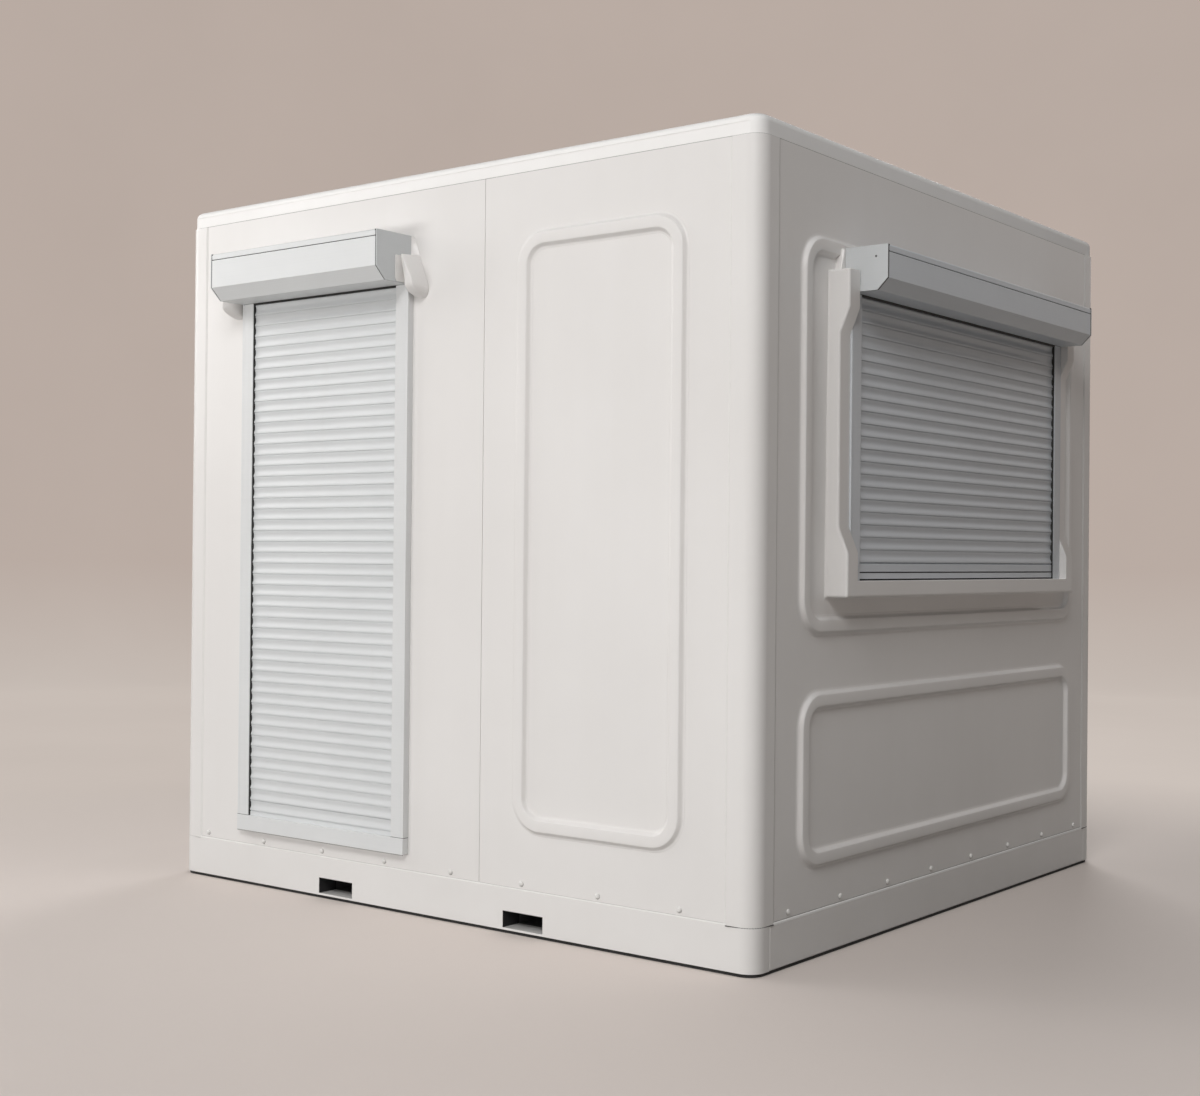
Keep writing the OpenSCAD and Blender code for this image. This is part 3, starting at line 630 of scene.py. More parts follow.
def joint_strips():
    """Sealant set back in every upright joint, dark between panels and paler beside the posts."""
    low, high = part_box("front_wall_door_panel")
    foot, head = low.z + BEAD_SHORT, high.z - BEAD_SHORT
    door_panel_ends = wall_span("front_wall_door_panel", FRONT)
    back_ends = sorted(
        wall_span("back_wall_narrow_panel", BACK) + wall_span("back_wall_wide_panel", BACK))
    bm = bmesh.new()
    for side, u in ((FRONT, door_panel_ends[1]), (BACK, back_ends[1])):
        add_cells(bm, (u - PANEL_JOINT_HALF, u + PANEL_JOINT_HALF), (foot, head),
                  -PANEL_JOINT_DEEP, -PANEL_JOINT_SUNK, side)
    trim(bm, "panel_joint_sealant", DARK_SEALANT)
    ends = {
        FRONT: (door_panel_ends[0], wall_span("front_wall_ribbed_panel", FRONT)[1]),
        RIGHT: wall_span("window_wall", RIGHT),
        BACK: (back_ends[0], back_ends[-1]),
        LEFT: wall_span("left_wall", LEFT),
    }
    bm = bmesh.new()
    for side, places in ends.items():
        for u, inward in zip(places, (1, -1)):
            section = [(u + inward * a * MM, w * MM) for a, w in POST_BEAD]
            add_prism(bm, section, foot, head, standing(side))
    trim(bm, "post_joint_sealant", SEALANT)


def ledge_beads_painted_light():
    """Sealant bead along the foot of every wall on the base's ledge, under a thin strip of painted shade;
    away from the front the bead is whiter than the gelcoat, a painted highlight, and at the front both are
    fainter.
    """
    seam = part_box("base_front")[1].z
    half = {
        FRONT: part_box("base_front")[1].x - POST_LEG,
        RIGHT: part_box("base_back")[1].y - POST_LEG,
    }
    half[BACK], half[LEFT] = half[FRONT], half[RIGHT]
    others = (RIGHT, BACK, LEFT)
    for name, material, section, sides in (
            ("front_ledge_bead", SEALANT, LEDGE_BEAD, (FRONT,)),
            ("front_ledge_painted_shade_line", MID_GREY_LINE, LEDGE_SHADE_LINE, (FRONT,)),
            ("ledge_beads_painted_light", HIGHLIGHT_SEALANT, LEDGE_BEAD, others),
            ("ledge_painted_shade_lines", HAIRLINE, LEDGE_SHADE_LINE, others)):
        bm = bmesh.new()
        for side in sides:
            outline = [(seam + a * MM, w * MM) for a, w in section]
            add_prism(bm, outline, -half[side], half[side], lying(side))
        trim(bm, name, material)


def outline_point(inset, step, corner):
    """Point of the pod's rounded plan outline, set in by inset, on one corner's arc."""
    half_w, half_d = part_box("base_front")[1].x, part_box("base_back")[1].y
    sx, sy = ((1, -1), (1, 1), (-1, 1), (-1, -1))[corner]
    a = math.radians(-90 + 90 * corner + 90 * step / CORNER_STEPS)
    r = CORNER_R - inset
    return sx * (half_w - CORNER_R) + r * math.cos(a), sy * (half_d - CORNER_R) + r * math.sin(a)


def band_rows(outer, inner, z0, z1):
    """Four-cornered sections of a band between two plan outlines."""
    return [[(x, y, z0), (x, y, z1), (a, b, z1), (a, b, z0)] for (x, y), (a, b) in zip(outer, inner)]


def plan_ring(name, inset, thickness, z0, z1, material):
    """Thin band all round the pod's rounded plan."""
    order = [(corner, step) for corner in range(4) for step in range(CORNER_STEPS + 1)]
    outer = [outline_point(inset, step, corner) for corner, step in order]
    inner = [outline_point(inset + thickness, step, corner) for corner, step in order]
    bm = bmesh.new()
    add_loop(bm, band_rows(outer, inner, z0, z1), closed=True)
    trim(bm, name, material)


def corner_beads(name, corners, material):
    """Seam where a corner post stands flush on the base."""
    bm = bmesh.new()
    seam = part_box("post_front_left")[0].z
    reach = POST_LEG - CORNER_R
    for corner in corners:
        outlines = []
        for inset in (CORNER_SEAM_IN, CORNER_SEAM_DEEP):
            arc = [Vector(outline_point(inset, step, corner)) for step in range(CORNER_STEPS + 1)]
            first = arc[0] - (arc[1] - arc[0]).normalized() * reach
            last = arc[-1] + (arc[-1] - arc[-2]).normalized() * reach
            outlines.append([first] + arc + [last])
        add_loop(bm, band_rows(*outlines, seam - CORNER_SEAM_BELOW, seam + CORNER_SEAM_ABOVE))
    trim(bm, name, material)


def roof_seal():
    """Thin gap all round under the roof cap."""
    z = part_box("roof_cap")[0].z
    plan_ring("roof_joint_seal", ROOF_SEAL_IN, ROOF_SEAL_W, z - ROOF_SEAL_HALF, z + ROOF_SEAL_HALF, HAIRLINE)


def base_trim():
    """Black rubber band under the base, which also stands in as painted shade for the gap under its foot, and
    near-black sheets of painted shade in the mouths of the forklift pockets.
    """
    # The rubber band under the base doubles as painted shade for the gap under the base's foot.
    plan_ring("base_gasket_and_shade", GASKET_SHADE_IN, GASKET_SHADE_W, GASKET_SHADE_CLEAR, FOOT_H + GASKET_SHADE_LAP, RUBBER)
    bm = bmesh.new()
    sheet = POCKET_SHADE_SHEET_T
    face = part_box("base_front")[0].y
    for node in ("fork_tube_left", "fork_tube_right"):
        low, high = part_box(node)
        wall = TUBE_WALL
        x0, x1, z0, z1 = low.x + wall, high.x - wall, low.z + wall, high.z - wall
        outline = [
            (x0, z0), (x0, z1), (x1, z1), (x1, z0), (x1 - sheet, z0), (x1 - sheet, z1 - sheet),
            (x0 + sheet, z1 - sheet), (x0 + sheet, z0),
        ]
        for sign in (1, -1):
            add_prism(bm, outline, sign * (face + POCKET_SHADE_SHEET_IN), sign * (face + RAIL_W),
                      lambda x, z, y: (x, y, z))
    to_object(bm, "fork_pocket_shade_sheets", POCKET_SHADE_PAINT, smooth=False)


# ------------------------ shutters
SLAT_DIP, SLAT_STEPS, CREASE_ANGLE = 0.72, 12, 38
# The joint under a slat, as shares of the pitch down from the slat's head and of the crest outwards
SLAT_JOINT = [(0.93, 0.97), (0.945, 0.80), (0.95, 0.30), (0.975, 0.30), (0.985, 0.60), (1.0, 0.76)]


def slat_outline(base, top):
    """Curtain's section as (up, outwards): hollow slats, each with a crest over a sharp joint."""
    crest = SLAT_T - SLAT_NECK
    shares = []
    for i in range(SLAT_STEPS + 1):
        t = i / SLAT_STEPS
        dip = math.sin(math.pi * min(1.0, t * 1.12)) ** 1.3
        lean = 0.78 + 0.22 * t
        shares.append((0.02 + 0.88 * t, max(0.0, lean - SLAT_DIP * dip)))
    shares += SLAT_JOINT
    count = int((top - base) / SLAT_PITCH)
    outline = [(base, 0.0), (base, SLAT_NECK)]
    for i in range(count):
        head = base + SLAT_PITCH * (i + 1)
        for down, out in reversed(shares):
            outline.append((head - SLAT_PITCH * down, SLAT_NECK + crest * out))
    outline += [(top, SLAT_NECK), (top, 0.0)]
    return outline


def slatted(node, ending, side, foot, outline):
    """Piece of a shutter's curtain with this section; foot is how far its back stands off the wall."""
    bm = prism(outline, *wall_span(node, side), lying(side, foot))
    obj = to_object(bm, node + ending, SLATS[side], [node], weighted=False)
    obj.data.set_sharp_from_angle(angle=math.radians(CREASE_ANGLE))


def curtain(node, side, foot):
    """Slatted curtain of a shutter."""
    low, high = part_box(node)
    slatted(node, "_slats", side, foot, slat_outline(low.z, high.z))


def guide(node, side, foot, opens):
    """Guide rail: a channel with lips, a small groove down its face, a brush at its mouth."""
    low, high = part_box(node)
    u0, u1 = wall_span(node, side)
    if opens < 0:
        u0, u1 = u1, u0
    width = abs(u1 - u0)
    slot_half = SLAT_T / 2 + 0.5 * MM
    mid, inside, groove = GUIDE_D / 2, GUIDE_D - GUIDE_LIP, GUIDE_GROOVE
    floor_u = width - GUIDE_GRIP - SHEET_T
    outline = [
        (0, 0),
        (width, 0),
        (width, mid - slot_half),
        (floor_u, mid - slot_half),
        (floor_u, mid + slot_half),
        (width - GUIDE_MOUTH, mid + slot_half),
        (width - GUIDE_MOUTH, inside),
        (width, inside),
        (width, GUIDE_D),
        (groove + 2 * MM, GUIDE_D),
        (groove + 1.4 * MM, GUIDE_D - 0.8 * MM),
        (groove + 0.6 * MM, GUIDE_D - 0.8 * MM),
        (groove, GUIDE_D),
        (0, GUIDE_D),
    ]
    outline = [(u0 + opens * a, w) for a, w in outline]
    bm = prism(outline, low.z, high.z, standing(side, foot))
    upright = [e for e in flat_edges(bm, 60) if abs(e.verts[0].co.z - e.verts[1].co.z) > 0.1]
    round_edges(bm, upright, 0.7 * MM, 2)
    to_object(bm, node + "_rail", TRIM[side], [node])
    mouth = u0 + opens * width
    tips = mid - SLAT_T / 2 + SLAT_NECK + 0.55 * (SLAT_T - SLAT_NECK)
    deep = mouth - opens * (GUIDE_MOUTH + 0.2 * MM)
    brush = [
        (deep, tips - 1 * MM),
        (mouth + opens * BRISTLES, tips - 1 * MM),
        (mouth + opens * BRISTLES, tips),
        (mouth - opens * 0.2 * MM, inside - 0.4 * MM),
        (deep, inside - 0.2 * MM),
    ]
    bm = prism(brush, low.z + 1 * MM, high.z - 1 * MM, standing(side, foot))
    trim(bm, node + "_brush")


def guide_foot_joints():
    """Hairline joint between the threshold's ends and the door's guides."""
    bm = bmesh.new()
    z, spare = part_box("door_threshold")[1].z, 0.2 * MM
    for node in ("door_guide_left", "door_guide_right"):
        u0, u1 = wall_span(node, FRONT)
        add_cells(bm, (u0 - spare, u1 + spare), (z - spare, z + 1.6 * MM), 1 * MM, GUIDE_D + spare, FRONT)
    trim(bm, "guide_foot_joints", DARK_SEALANT)


def threshold_shade_strip():
    """Thin dark strip under the threshold's front edge: painted shade of the line beneath it."""
    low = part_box("door_threshold")[0]
    u0, u1 = wall_span("door_threshold", FRONT)
    out = -low.y - FACE[FRONT]
    us, vs = (u0 + 1 * MM, u1 - 1 * MM), (low.z - SHADE_STRIP_H, low.z + 1 * MM)
    bm = bmesh.new()
    add_cells(bm, us, vs, out - 4 * MM, out - 1.2 * MM, FRONT)
    trim(bm, "threshold_shade_strip", HAIRLINE)


def bottom_bar(node, seal_node, side, foot, skirt=0.0):
    """Bar under the last slat: folded like one over a skirt, or flat with an open groove; rubber below."""
    low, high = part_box(node)
    u0, u1 = wall_span(node, side)
    groove, t = low.z + BAR_GROOVE_Z, SLAT_T
    place = lying(side, foot)
    outline = [(low.z, 0), (high.z, 0), (high.z, SLAT_NECK)]
    if skirt:
        fold = high.z - 1.001 * SLAT_PITCH
        outline += list(reversed(slat_outline(fold, high.z)[2:-2]))
        outline += [(fold - 1.5 * MM, t - 2.5 * MM), (fold - 2.5 * MM, t - 0.5 * MM)]
        outline += [(low.z - skirt, t - 0.5 * MM), (low.z - skirt, t - 2 * MM), (low.z, t - 2 * MM)]
    else:
        outline += [(high.z - 4 * MM, t), (groove + 4.2 * MM, t), (groove + 3.8 * MM, t - 5 * MM)]
        outline += [(groove, t - 5 * MM), (groove - 0.4 * MM, t), (low.z, t)]
        v0, v1, w0, w1 = groove + 0.2 * MM, groove + 3.6 * MM, t - 6 * MM, t - 1.2 * MM
        bm = prism([(v0, w0), (v1, w0), (v1, w1), (v0, w1)], u0, u1, place)
        trim(bm, node + "_gasket")
    slatted(node, "_profile", side, foot, outline)
    low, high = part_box(seal_node)
    w0, w1, slant = 0.5 * MM, 6.5 * MM, 1.5 * MM
    lip = [(low.z, w0 + 1 * MM), (low.z, w1 - slant), (low.z + slant, w1), (high.z, w1), (high.z, w0)]
    to_object(prism(lip, u0, u1, place), seal_node + "_rubber", RUBBER, [seal_node])


def dome(bm, side, u, v, radius, height, rings=4, turns=20):
    """Domed screw head on a wall, with a shallow driving recess; also the low dark disc of painted shade
    under a head.
    """
    recess = 0.3
    steps = [(1.0, -0.3 * MM), (1.0, 0.25 * height)]
    steps += [(math.cos(a), height * (0.25 + 0.75 * math.sin(a)))
              for a in (math.pi / 2 * i / rings for i in range(1, rings))]
    steps += [(recess, height * 0.99), (recess * 0.85, height * 0.6)]
    add_loop(bm, [
        [on_wall(side, u + radius * share * c, v + radius * share * n, up) for c, n in circle(turns)]
        for share, up in steps
    ])


def screws():
    """Rows of domed screws above the base seam on all four walls, each over a dark crescent of painted shade
    below its head.
    """
    bm, shade_crescents = bmesh.new(), bmesh.new()
    low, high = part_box("base_screws")
    v = (low.z + high.z) / 2
    half_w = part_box("base_front")[1].x
    half_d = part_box("base_back")[1].y
    for side in (FRONT, RIGHT, BACK, LEFT):
        half, start = (half_w, SCREW_START_END) if side in (FRONT, BACK) else (half_d, SCREW_START_SIDE)
        for i in range(SCREW_COUNT):
            u = -half + start + SCREW_PITCH * i
            dome(bm, side, u, v, CAP_R, CAP_RISE)
            dome(shade_crescents, side, u, v - CAP_SHADE_DROP, CAP_SHADE_R, CAP_SHADE_RISE)
    to_object(shade_crescents, "base_screw_shade_crescents", HAIRLINE)
    to_object(bm, "base_screw_caps", CAPS, ["base_screws"], weighted=False)


def shutter_box(prefix, side, foot, cut, joint):
    """Shutter box: folded lid with a lip, folded front cover, end plates, dark joints and a black slot brush
    that also stands in for the shade inside the slot.
    """
    low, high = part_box(prefix + "_box_caps")
    u0, u1 = wall_span(prefix + "_box_caps", side)
    h = high.z - low.z
    d = {FRONT: -low.y - FACE[FRONT], RIGHT: high.x - FACE[RIGHT]}[side] - foot
    t, lip = SHEET_T, h - BOX_LIP
    shut = lip - BOX_GAP
    back, fold, hem = 0.5 * MM, 5 * MM, 7 * MM

    def place(v, w, u):
        return on_wall(side, u, low.z + v, foot + w)

    lid = [
        (0, 0),
        (h - back, 0),
        (h - back, d - fold),
        (h - back - 0.3 * fold, d - back - 0.3 * fold),
        (h - fold, d - back),
        (lip, d - back),
        (lip, d - 6 * MM),
        (lip + t, d - 6 * MM),
        (lip + t, d - back - t),
        (h - fold, d - back - t),
        (h - back - t, d - fold),
        (h - back - t, t),
        (0, t),
    ]
    slope = t * math.tan(math.radians(22.5))
    cover = [
        (0, BOX_SLOT),
        (0, d - cut),
        (cut, d),
        (shut, d),
        (shut, d - hem),
        (shut - t, d - hem),
        (shut - t, d - t),
        (cut + slope, d - t),
        (t, d - cut - slope),
        (t, BOX_SLOT),
    ]
    cover = [(v, w - 0.4 * MM if w > d - 1 * MM else w) for v, w in cover]
    end = CAP_T + joint
    for name, node, outline in (("_box_lid", "_box", lid), ("_box_front", "_box_cover", cover)):
        bm = prism(outline, u0 + end, u1 - end, place)
        folds = [e for e in flat_edges(bm, 20) if (e.verts[0].co - e.verts[1].co).length > 0.3]
        round_edges(bm, folds, 0.7 * MM, 2)
        to_object(bm, prefix + name, SHUTTER[side], [prefix + node])

    def profile(t):
        """End plate's outline, drawn in by t."""
        return [(t, t), (t, d - cut - t), (cut + t * 0.4, d - t), (h - t, d - t), (h - t, t)]

    bm = bmesh.new()
    for start in (u0, u1 - CAP_T):
        add_prism(bm, profile(0), start, start + CAP_T, place)
    round_edges(bm, list(bm.edges), 0.9 * MM, 2)
    to_object(bm, prefix + "_box_end_plates", END_PLATE, [prefix + "_box_caps"])
    bm = bmesh.new()
    lap = 3 * MM
    for start in (u0 + CAP_T, u1 - end - lap):
        add_prism(bm, profile(0.6 * MM), start, start + joint + lap, place)
    w0, w1 = d - 8 * MM, d - 4 * MM
    strip = [(shut - lap, w0), (lip + lap, w0), (lip + lap, w1), (shut - lap, w1)]
    add_prism(bm, strip, u0 + end, u1 - end, place)
    # Black brush at the slot: partly a real brush seal, partly painted shade of the slot's dark inside.
    foot_z, root = -6.5 * MM, 4 * MM
    brush = [
        (foot_z, BOX_SLOT - 6 * MM), (root, BOX_SLOT - 6 * MM), (root, BOX_SLOT + 1 * MM),
        (foot_z, BOX_SLOT - 3.5 * MM),
    ]
    add_prism(bm, brush, u0 + end, u1 - end, place)
    trim(bm, prefix + "_box_seals_and_slot_shade")


def end_plate_screws(prefix, side, up, out):
    """Small pan-head screw in each end plate of a shutter box."""
    head = [(3.4 * MM, -0.2 * MM), (3.4 * MM, 0.8 * MM), (2.6 * MM, 1.6 * MM), (1.0 * MM, 1.8 * MM)]
    bm = bmesh.new()
    for u, sign in zip(wall_span(prefix + "_box_caps", side), (-1, 1)):
        add_loop(bm, [
            [on_wall(side, u + sign * rise, up + radius * n, out + radius * c) for c, n in circle(14)]
            for radius, rise in head
        ])
    to_object(bm, prefix + "_end_plate_screws", STEEL, weighted=False)


# ------------------------ door brackets
# Door bracket, from a box's end: a thin ear that widens downwards, and a soft lug that stands out below it
EAR_TOP, EAR_EDGE, EAR_T = 159 * MM, 3 * MM, 13 * MM
LUG_TOP, LUG_STEP, LUG_CLOSE, LUG_FOOT = 93 * MM, 7 * MM, -10 * MM, -47 * MM
LUG_DEPTH, NOSE_DEPTH, LUG_TOE, LUG_LEAN, NOSE_LIFT = 64 * MM, 73 * MM, 70 * MM, 10 * MM, 8 * MM
NOSE_TOP, NOSE_EDGE, NOSE_R = 10 * MM, 58 * MM, 4 * MM
FLANGE_H, FLANGE_D, FLANGE_T = 88 * MM, 88 * MM, 3.4 * MM


def lug_section(v):
    """Plan section of the bracket at height v over the box's underside, as (along the wall, outwards)."""
    fall = (EAR_TOP - v) / (EAR_TOP - LUG_CLOSE)
    toe = EAR_EDGE + (LUG_TOE - EAR_EDGE) * min(fall, 1.04)
    inner = lean = -3 * MM
    if v > LUG_TOP:
        side = depth = EAR_T
        ridge = toe * 0.08
        bend = 0.06 * toe
    else:
        share = min(1.0, (LUG_TOP - v) / (LUG_TOP - NOSE_TOP))
        side = LUG_DEPTH
        depth = LUG_DEPTH + (NOSE_DEPTH - LUG_DEPTH) * share
        bend = NOSE_R
        lean = inner + LUG_LEAN * share
        ridge = min(EAR_EDGE + NOSE_R + (NOSE_EDGE - EAR_EDGE) * share ** 1.3, toe - 3 * MM)
    if v < LUG_CLOSE:
        turn = math.sqrt(max(0.04, 1 - ((LUG_CLOSE - v) / (LUG_CLOSE - LUG_FOOT)) ** 2))
        middle = toe * 0.6
        drawn = 0.35 + 0.65 * turn
        inner, lean, toe, ridge = (middle + (a - middle) * drawn for a in (inner, lean, toe, ridge))
        side *= turn
        depth *= turn
    low = min(bend, depth * 0.3)
    return [
        (inner, -4 * MM), (lean, side * 0.96), (lean + 0.5 * (ridge - lean), (side + depth) / 2),
        (ridge - 0.6 * bend, depth), (ridge + 0.25 * bend, depth - 0.6 * low),
        (ridge + 0.5 * (toe - ridge), depth * 0.5), (toe, depth * 0.06), (toe, -4 * MM),
    ]


def door_bracket(node, sign):
    """Soft moulded lug and its flange, which carry an end of the door's shutter box."""
    low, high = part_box(node)
    root = low.x if sign > 0 else high.x
    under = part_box("door_box")[0].z

    def place(a, w, v):
        return on_wall(FRONT, root + sign * a, under + v, w)

    def lifted(a, w, v):
        """Place of a lug's point, its nose raised towards the foot."""
        low_share = smooth_step((LUG_TOP / 2 - v) / (LUG_TOP / 2 - LUG_FOOT))
        return place(a, w, v + NOSE_LIFT * low_share * max(0.0, w) / NOSE_DEPTH)

    drop = LUG_CLOSE - LUG_FOOT
    levels = [EAR_TOP, EAR_TOP - LUG_STEP, LUG_TOP + LUG_STEP, LUG_TOP + 0.1 * LUG_STEP,
              LUG_TOP - 0.1 * LUG_STEP, LUG_TOP - LUG_STEP]
    levels += [LUG_TOP + (LUG_CLOSE - LUG_TOP) * k / 4 for k in range(1, 5)]
    levels += [LUG_CLOSE - drop * math.sin(math.pi / 2 * k / 4) for k in range(1, 5)]
    bm = bmesh.new()
    add_loop(bm, [[lifted(a, w, v) for a, w in lug_section(v)] for v in levels])
    lug = to_object(bm, node + "_lug", GELCOAT, [node], weighted=False)
    rounding = lug.modifiers.new("rounding", "SUBSURF")
    rounding.levels = rounding.render_levels = 3
    flange = [
        (FLANGE_H, 0), (FLANGE_H, FLANGE_D - 3 * MM), (FLANGE_H - 3 * MM, FLANGE_D), (10 * MM, FLANGE_D),
        (1 * MM, FLANGE_D - 9 * MM), (1 * MM, 0),
    ]
    bm = prism(flange, 0.2 * MM, FLANGE_T, lambda v, w, a: place(a, w, v))
    round_edges(bm, list(bm.edges), 0.9 * MM, 2)
    to_object(bm, node + "_flange", GELCOAT)


# ------------------------ stage, light, camera
NEAR_FLOOR, FAR_FLOOR, WALL = (0.78, 0.705, 0.66), (0.57, 0.505, 0.46), (0.50, 0.42, 0.375)
BOUNCE, DARK = (0.28, 0.265, 0.25), (0.0, 0.0, 0.0)
SHADOW_MIDDLE, SHADOW_NEAR, SHADOW_FAR, WALL_FULL = (1.1, -1.0, 0.0), 2.9, 4.9, 1.1


def stage_paint(name):
    """Matt floor that keeps the pod's shadow; further out and up the wall it shows one pale tone."""
    n = Nodes(name)
    path = n.add("ShaderNodeLightPath")
    seen = n.math("MAXIMUM", path.outputs["Is Camera Ray"], path.outputs["Is Glossy Ray"])
    seen = n.math("MAXIMUM", seen, path.outputs["Is Transmission Ray"])
    reach = n.tree.nodes.new("ShaderNodeVectorMath")
    reach.operation = "DISTANCE"
    n.tree.links.new(n.stretched(1, 1, 0), reach.inputs[0])
    reach.inputs[1].default_value = SHADOW_MIDDLE
    far = n.range(reach.outputs["Value"], SHADOW_NEAR, SHADOW_FAR, 0.0, 1.0)
    cloud, grain = n.noise(0.5, 4, 0.6), n.range(n.noise(90, 4, 0.7), 0.3, 0.7, 0.0, 0.06)
    near = n.mix(cloud, tuple(c * 0.97 for c in NEAR_FLOOR), tuple(c * 1.03 for c in NEAR_FLOOR))
    near = n.mix(grain, near, tuple(c * 0.8 for c in NEAR_FLOOR))
    glow = n.mix(n.range(n.height(), 0.0, WALL_FULL, 0.0, 1.0), FAR_FLOOR, WALL)
    glow = n.mix(cloud, glow, n.mix(0.08, glow, DARK))
    n.put(n.shader.inputs["Emission Color"], glow)
    n.put(n.shader.inputs["Emission Strength"], n.math("MULTIPLY", seen, far))
    near = n.mix(far, near, DARK)
    return n.finish(n.mix(seen, BOUNCE, near), 0.8, Specular_IOR_Level=0.2)


def make_stage():
    """Plain pale floor that sweeps up into a far round backdrop."""
    reach, cove, height, turns = 11.0, 1.6, 9.0, 96
    profile = [(0.02, 0.0), (reach - cove, 0.0)]
    profile += [(reach - cove + cove * math.sin(a), cove * (1 - math.cos(a)))
                for a in (math.pi / 2 * i / 16 for i in range(1, 17))]
    profile.append((reach, height))
    bm = bmesh.new()
    add_loop(bm, [[(r * c, r * n, z) for c, n in circle(turns)] for r, z in profile], caps=False)
    floor = meshed(bm, "backdrop", stage_paint("backdrop_paint"), smooth=True)


def area_light(name, azimuth, elevation, distance, target, size, power, colour, glossy=True):
    """Softbox hung round the pod; azimuth 0 is in front of the door wall, 90 beside the window wall."""
    turn, rise = math.radians(azimuth), math.radians(elevation)
    place = Vector(target) + distance * Vector((
        math.sin(turn) * math.cos(rise), -math.cos(turn) * math.cos(rise), math.sin(rise)))
    data = bpy.data.lights.new(name, "AREA")
    data.shape = "RECTANGLE"
    data.size, data.size_y = size
    data.energy = power
    data.color = colour
    lamp = linked(name, data)
    lamp.location = place
    lamp.rotation_mode = "QUATERNION"
    lamp.rotation_quaternion = (Vector(target) - place).to_track_quat("-Z", "Y")
    lamp.visible_camera = False
    lamp.visible_glossy = glossy


WARM, NEUTRAL, COOL, SKY = (1.0, 0.985, 0.965), (1.0, 0.995, 0.99), (0.95, 0.975, 1.0), (0.985, 0.99, 1.0)
MIDDLE, LOW_MIDDLE = (0.0, 0.0, 1.1), (0.0, 0.0, 0.4)


def make_light():
    """Soft lamps all round: the key off the near corner, two low ones for the walls' feet, weak fills."""
    area_light("key", 25, 28, 12.0, MIDDLE, (5.0, 5.0), 825, NEUTRAL)
    area_light("key_low", -8, 2, 8.0, LOW_MIDDLE, (5.0, 1.0), 195, NEUTRAL, glossy=False)
    area_light("near_right", 45, 5, 4.5, LOW_MIDDLE, (1.5, 1.0), 5.5, NEUTRAL, glossy=False)
    area_light("key_left", -65, 25, 8.5, MIDDLE, (4.0, 4.0), 100, NEUTRAL)
    area_light("key_high", -40, 40, 8.5, MIDDLE, (4.0, 4.0), 60, NEUTRAL)
    area_light("near_left", -55, 18, 4.2, MIDDLE, (1.5, 1.5), 11.5, WARM)
    area_light("over_right", 77, 57, 6.4, MIDDLE, (3.0, 3.0), 36, COOL)
    area_light("fill_right", 165, 22, 8.0, MIDDLE, (4.0, 3.0), 20, NEUTRAL)
    area_light("fill_back", 202, 25, 8.5, MIDDLE, (4.0, 4.0), 290, NEUTRAL)
    world = bpy.data.worlds.new("world")
    world.use_nodes = True
    background = world.node_tree.nodes["Background"]
    background.inputs["Color"].default_value = (*SKY, 1)
    background.inputs["Strength"].default_value = 0.04
    bpy.context.scene.world = world
    bpy.context.scene.view_settings.view_transform = "Standard"


CAMERA_PLACE, CAMERA_LENS, CAMERA_SENSOR = (3.8066, -5.2457, 1.1826), 50.549, 36
CAMERA_YAW, CAMERA_PITCH, CAMERA_ROLL = 37.806, 0.328, 0.530


def make_camera():
    """Camera at the viewing angle: low, off the near corner between the two shutter walls."""
    yaw, pitch, roll = (math.radians(a) for a in (CAMERA_YAW, CAMERA_PITCH, CAMERA_ROLL))
    ahead = Vector((-math.sin(yaw) * math.cos(pitch), math.cos(yaw) * math.cos(pitch), math.sin(pitch)))
    right = Vector((math.cos(yaw), math.sin(yaw), 0))
    up = right.cross(ahead)
    turned_right = right * math.cos(roll) + up * math.sin(roll)
    turned_up = up * math.cos(roll) - right * math.sin(roll)
    data = bpy.data.cameras.new("camera")
    data.sensor_width = CAMERA_SENSOR
    data.lens = CAMERA_LENS
    data.clip_end = 100
    camera = linked("camera", data)
    turn = Matrix((turned_right, turned_up, -ahead)).transposed()
    camera.matrix_world = Matrix.Translation(CAMERA_PLACE) @ turn.to_4x4()
    bpy.context.scene.camera = camera


# ------------------------ putting it together
make_camera()
make_stage()
make_light()

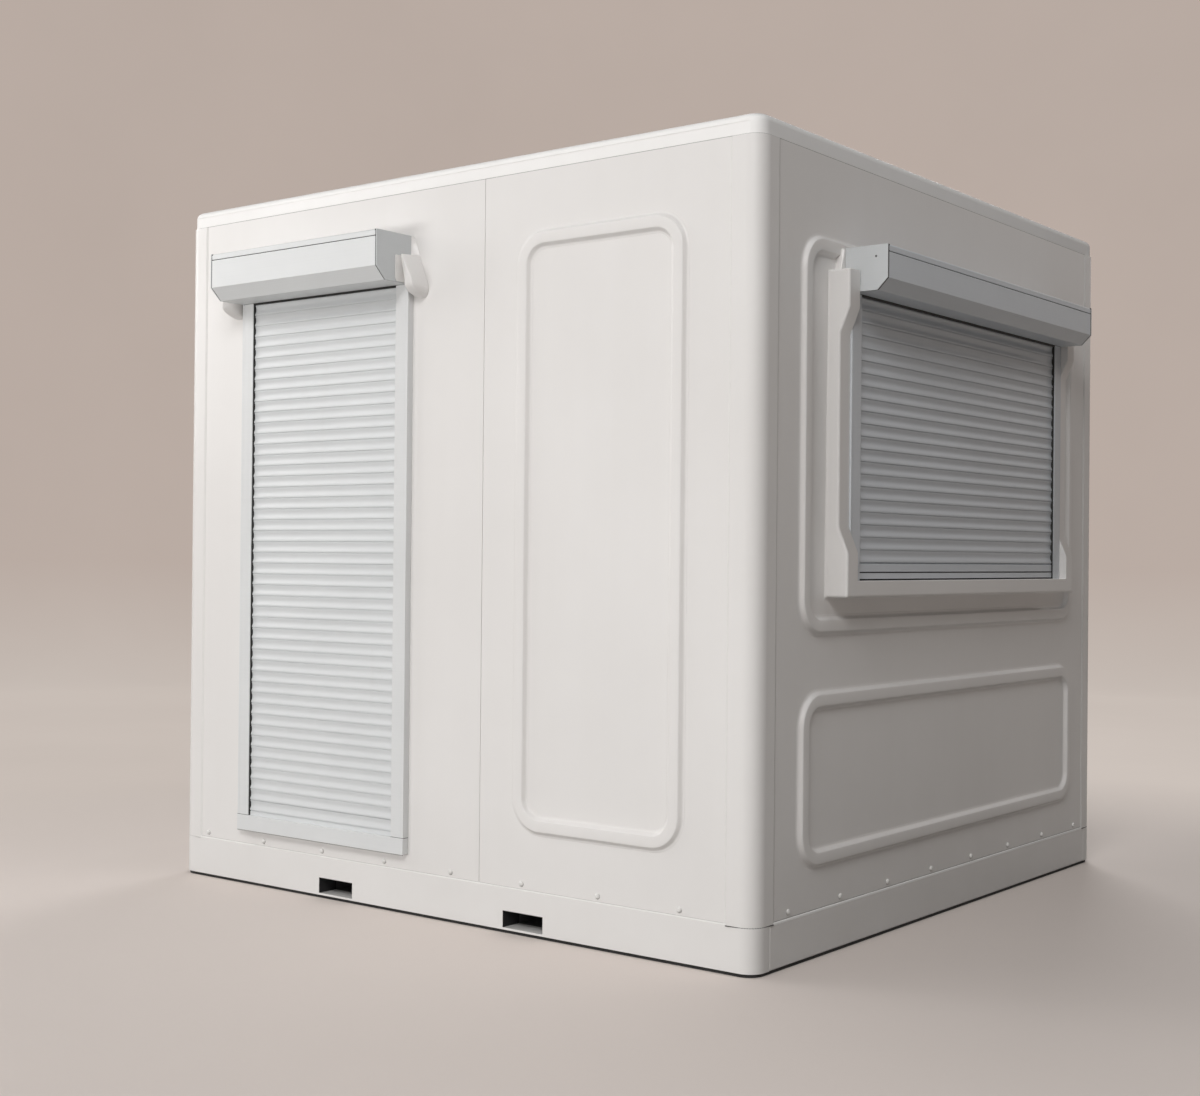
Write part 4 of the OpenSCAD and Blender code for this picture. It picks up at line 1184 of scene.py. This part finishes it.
for node in ("base_front", "base_back", "base_left", "base_right", "floor_bearer"):
    soften(node, GELCOAT, 4.5 * MM, 4)
for node in ("post_front_left", "post_front_right", "post_back_left", "post_back_right"):
    soften(node, GELCOAT, 1.4 * MM)
soften("roof_cap", ROOF, 1.6 * MM)
soften("door_threshold", TRIM[FRONT], 1.2 * MM)
base_trim()
corner_beads("post_seam_beads", (0, 1, 2), DARK_SEALANT)
# The front-left seam is a paler copy of the dark seams: painted light where that corner is brightly lit.
corner_beads("front_left_seam_painted_light", (3,), MID_GREY_LINE)
roof_seal()
for node in ("fork_tube_left", "fork_tube_right"):
    soften(node, STEEL, 1.5 * MM)
soften("floor_deck", DECK, 1.5 * MM)
for node in ("door_axle", "window_axle"):
    paint(node, STEEL)

door_panel()
ribbed_panel("front_wall_ribbed_panel", FRONT, [TALL_RING])
ribbed_panel("back_wall_wide_panel", BACK, [TALL_RING])
ribbed_panel("back_wall_narrow_panel", BACK, [TALL_RING])
ribbed_panel("left_wall", LEFT, [LOW_RING, HIGH_RING])
window_moulding()
joint_strips()
ledge_beads_painted_light()

door_foot = (GUIDE_D - SLAT_T) / 2
window_foot = PAD_T + door_foot
curtain("door_curtain", FRONT, door_foot)
curtain("window_curtain", RIGHT, window_foot)
bottom_bar("door_bottom_bar", "door_seal", FRONT, door_foot, DOOR_BAR_SKIRT)
bottom_bar("window_bottom_bar", "window_seal", RIGHT, window_foot)
guide_foot_joints()
threshold_shade_strip()
guide("door_guide_left", FRONT, 0, 1)
guide("door_guide_right", FRONT, 0, -1)
guide("window_guide_left", RIGHT, PAD_T, 1)
guide("window_guide_right", RIGHT, PAD_T, -1)
door_bracket("door_bracket_left", -1)
door_bracket("door_bracket_right", 1)
screws()
shutter_box("door", FRONT, 0, DOOR_BOX_CUT, DOOR_BOX_JOINT)
shutter_box("window", RIGHT, PAD_T, WINDOW_BOX_CUT, WINDOW_BOX_JOINT)
end_plate_screws("window", RIGHT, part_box("window_box_caps")[1].z - END_SCREW_DROP, PAD_T + END_SCREW_OUT)
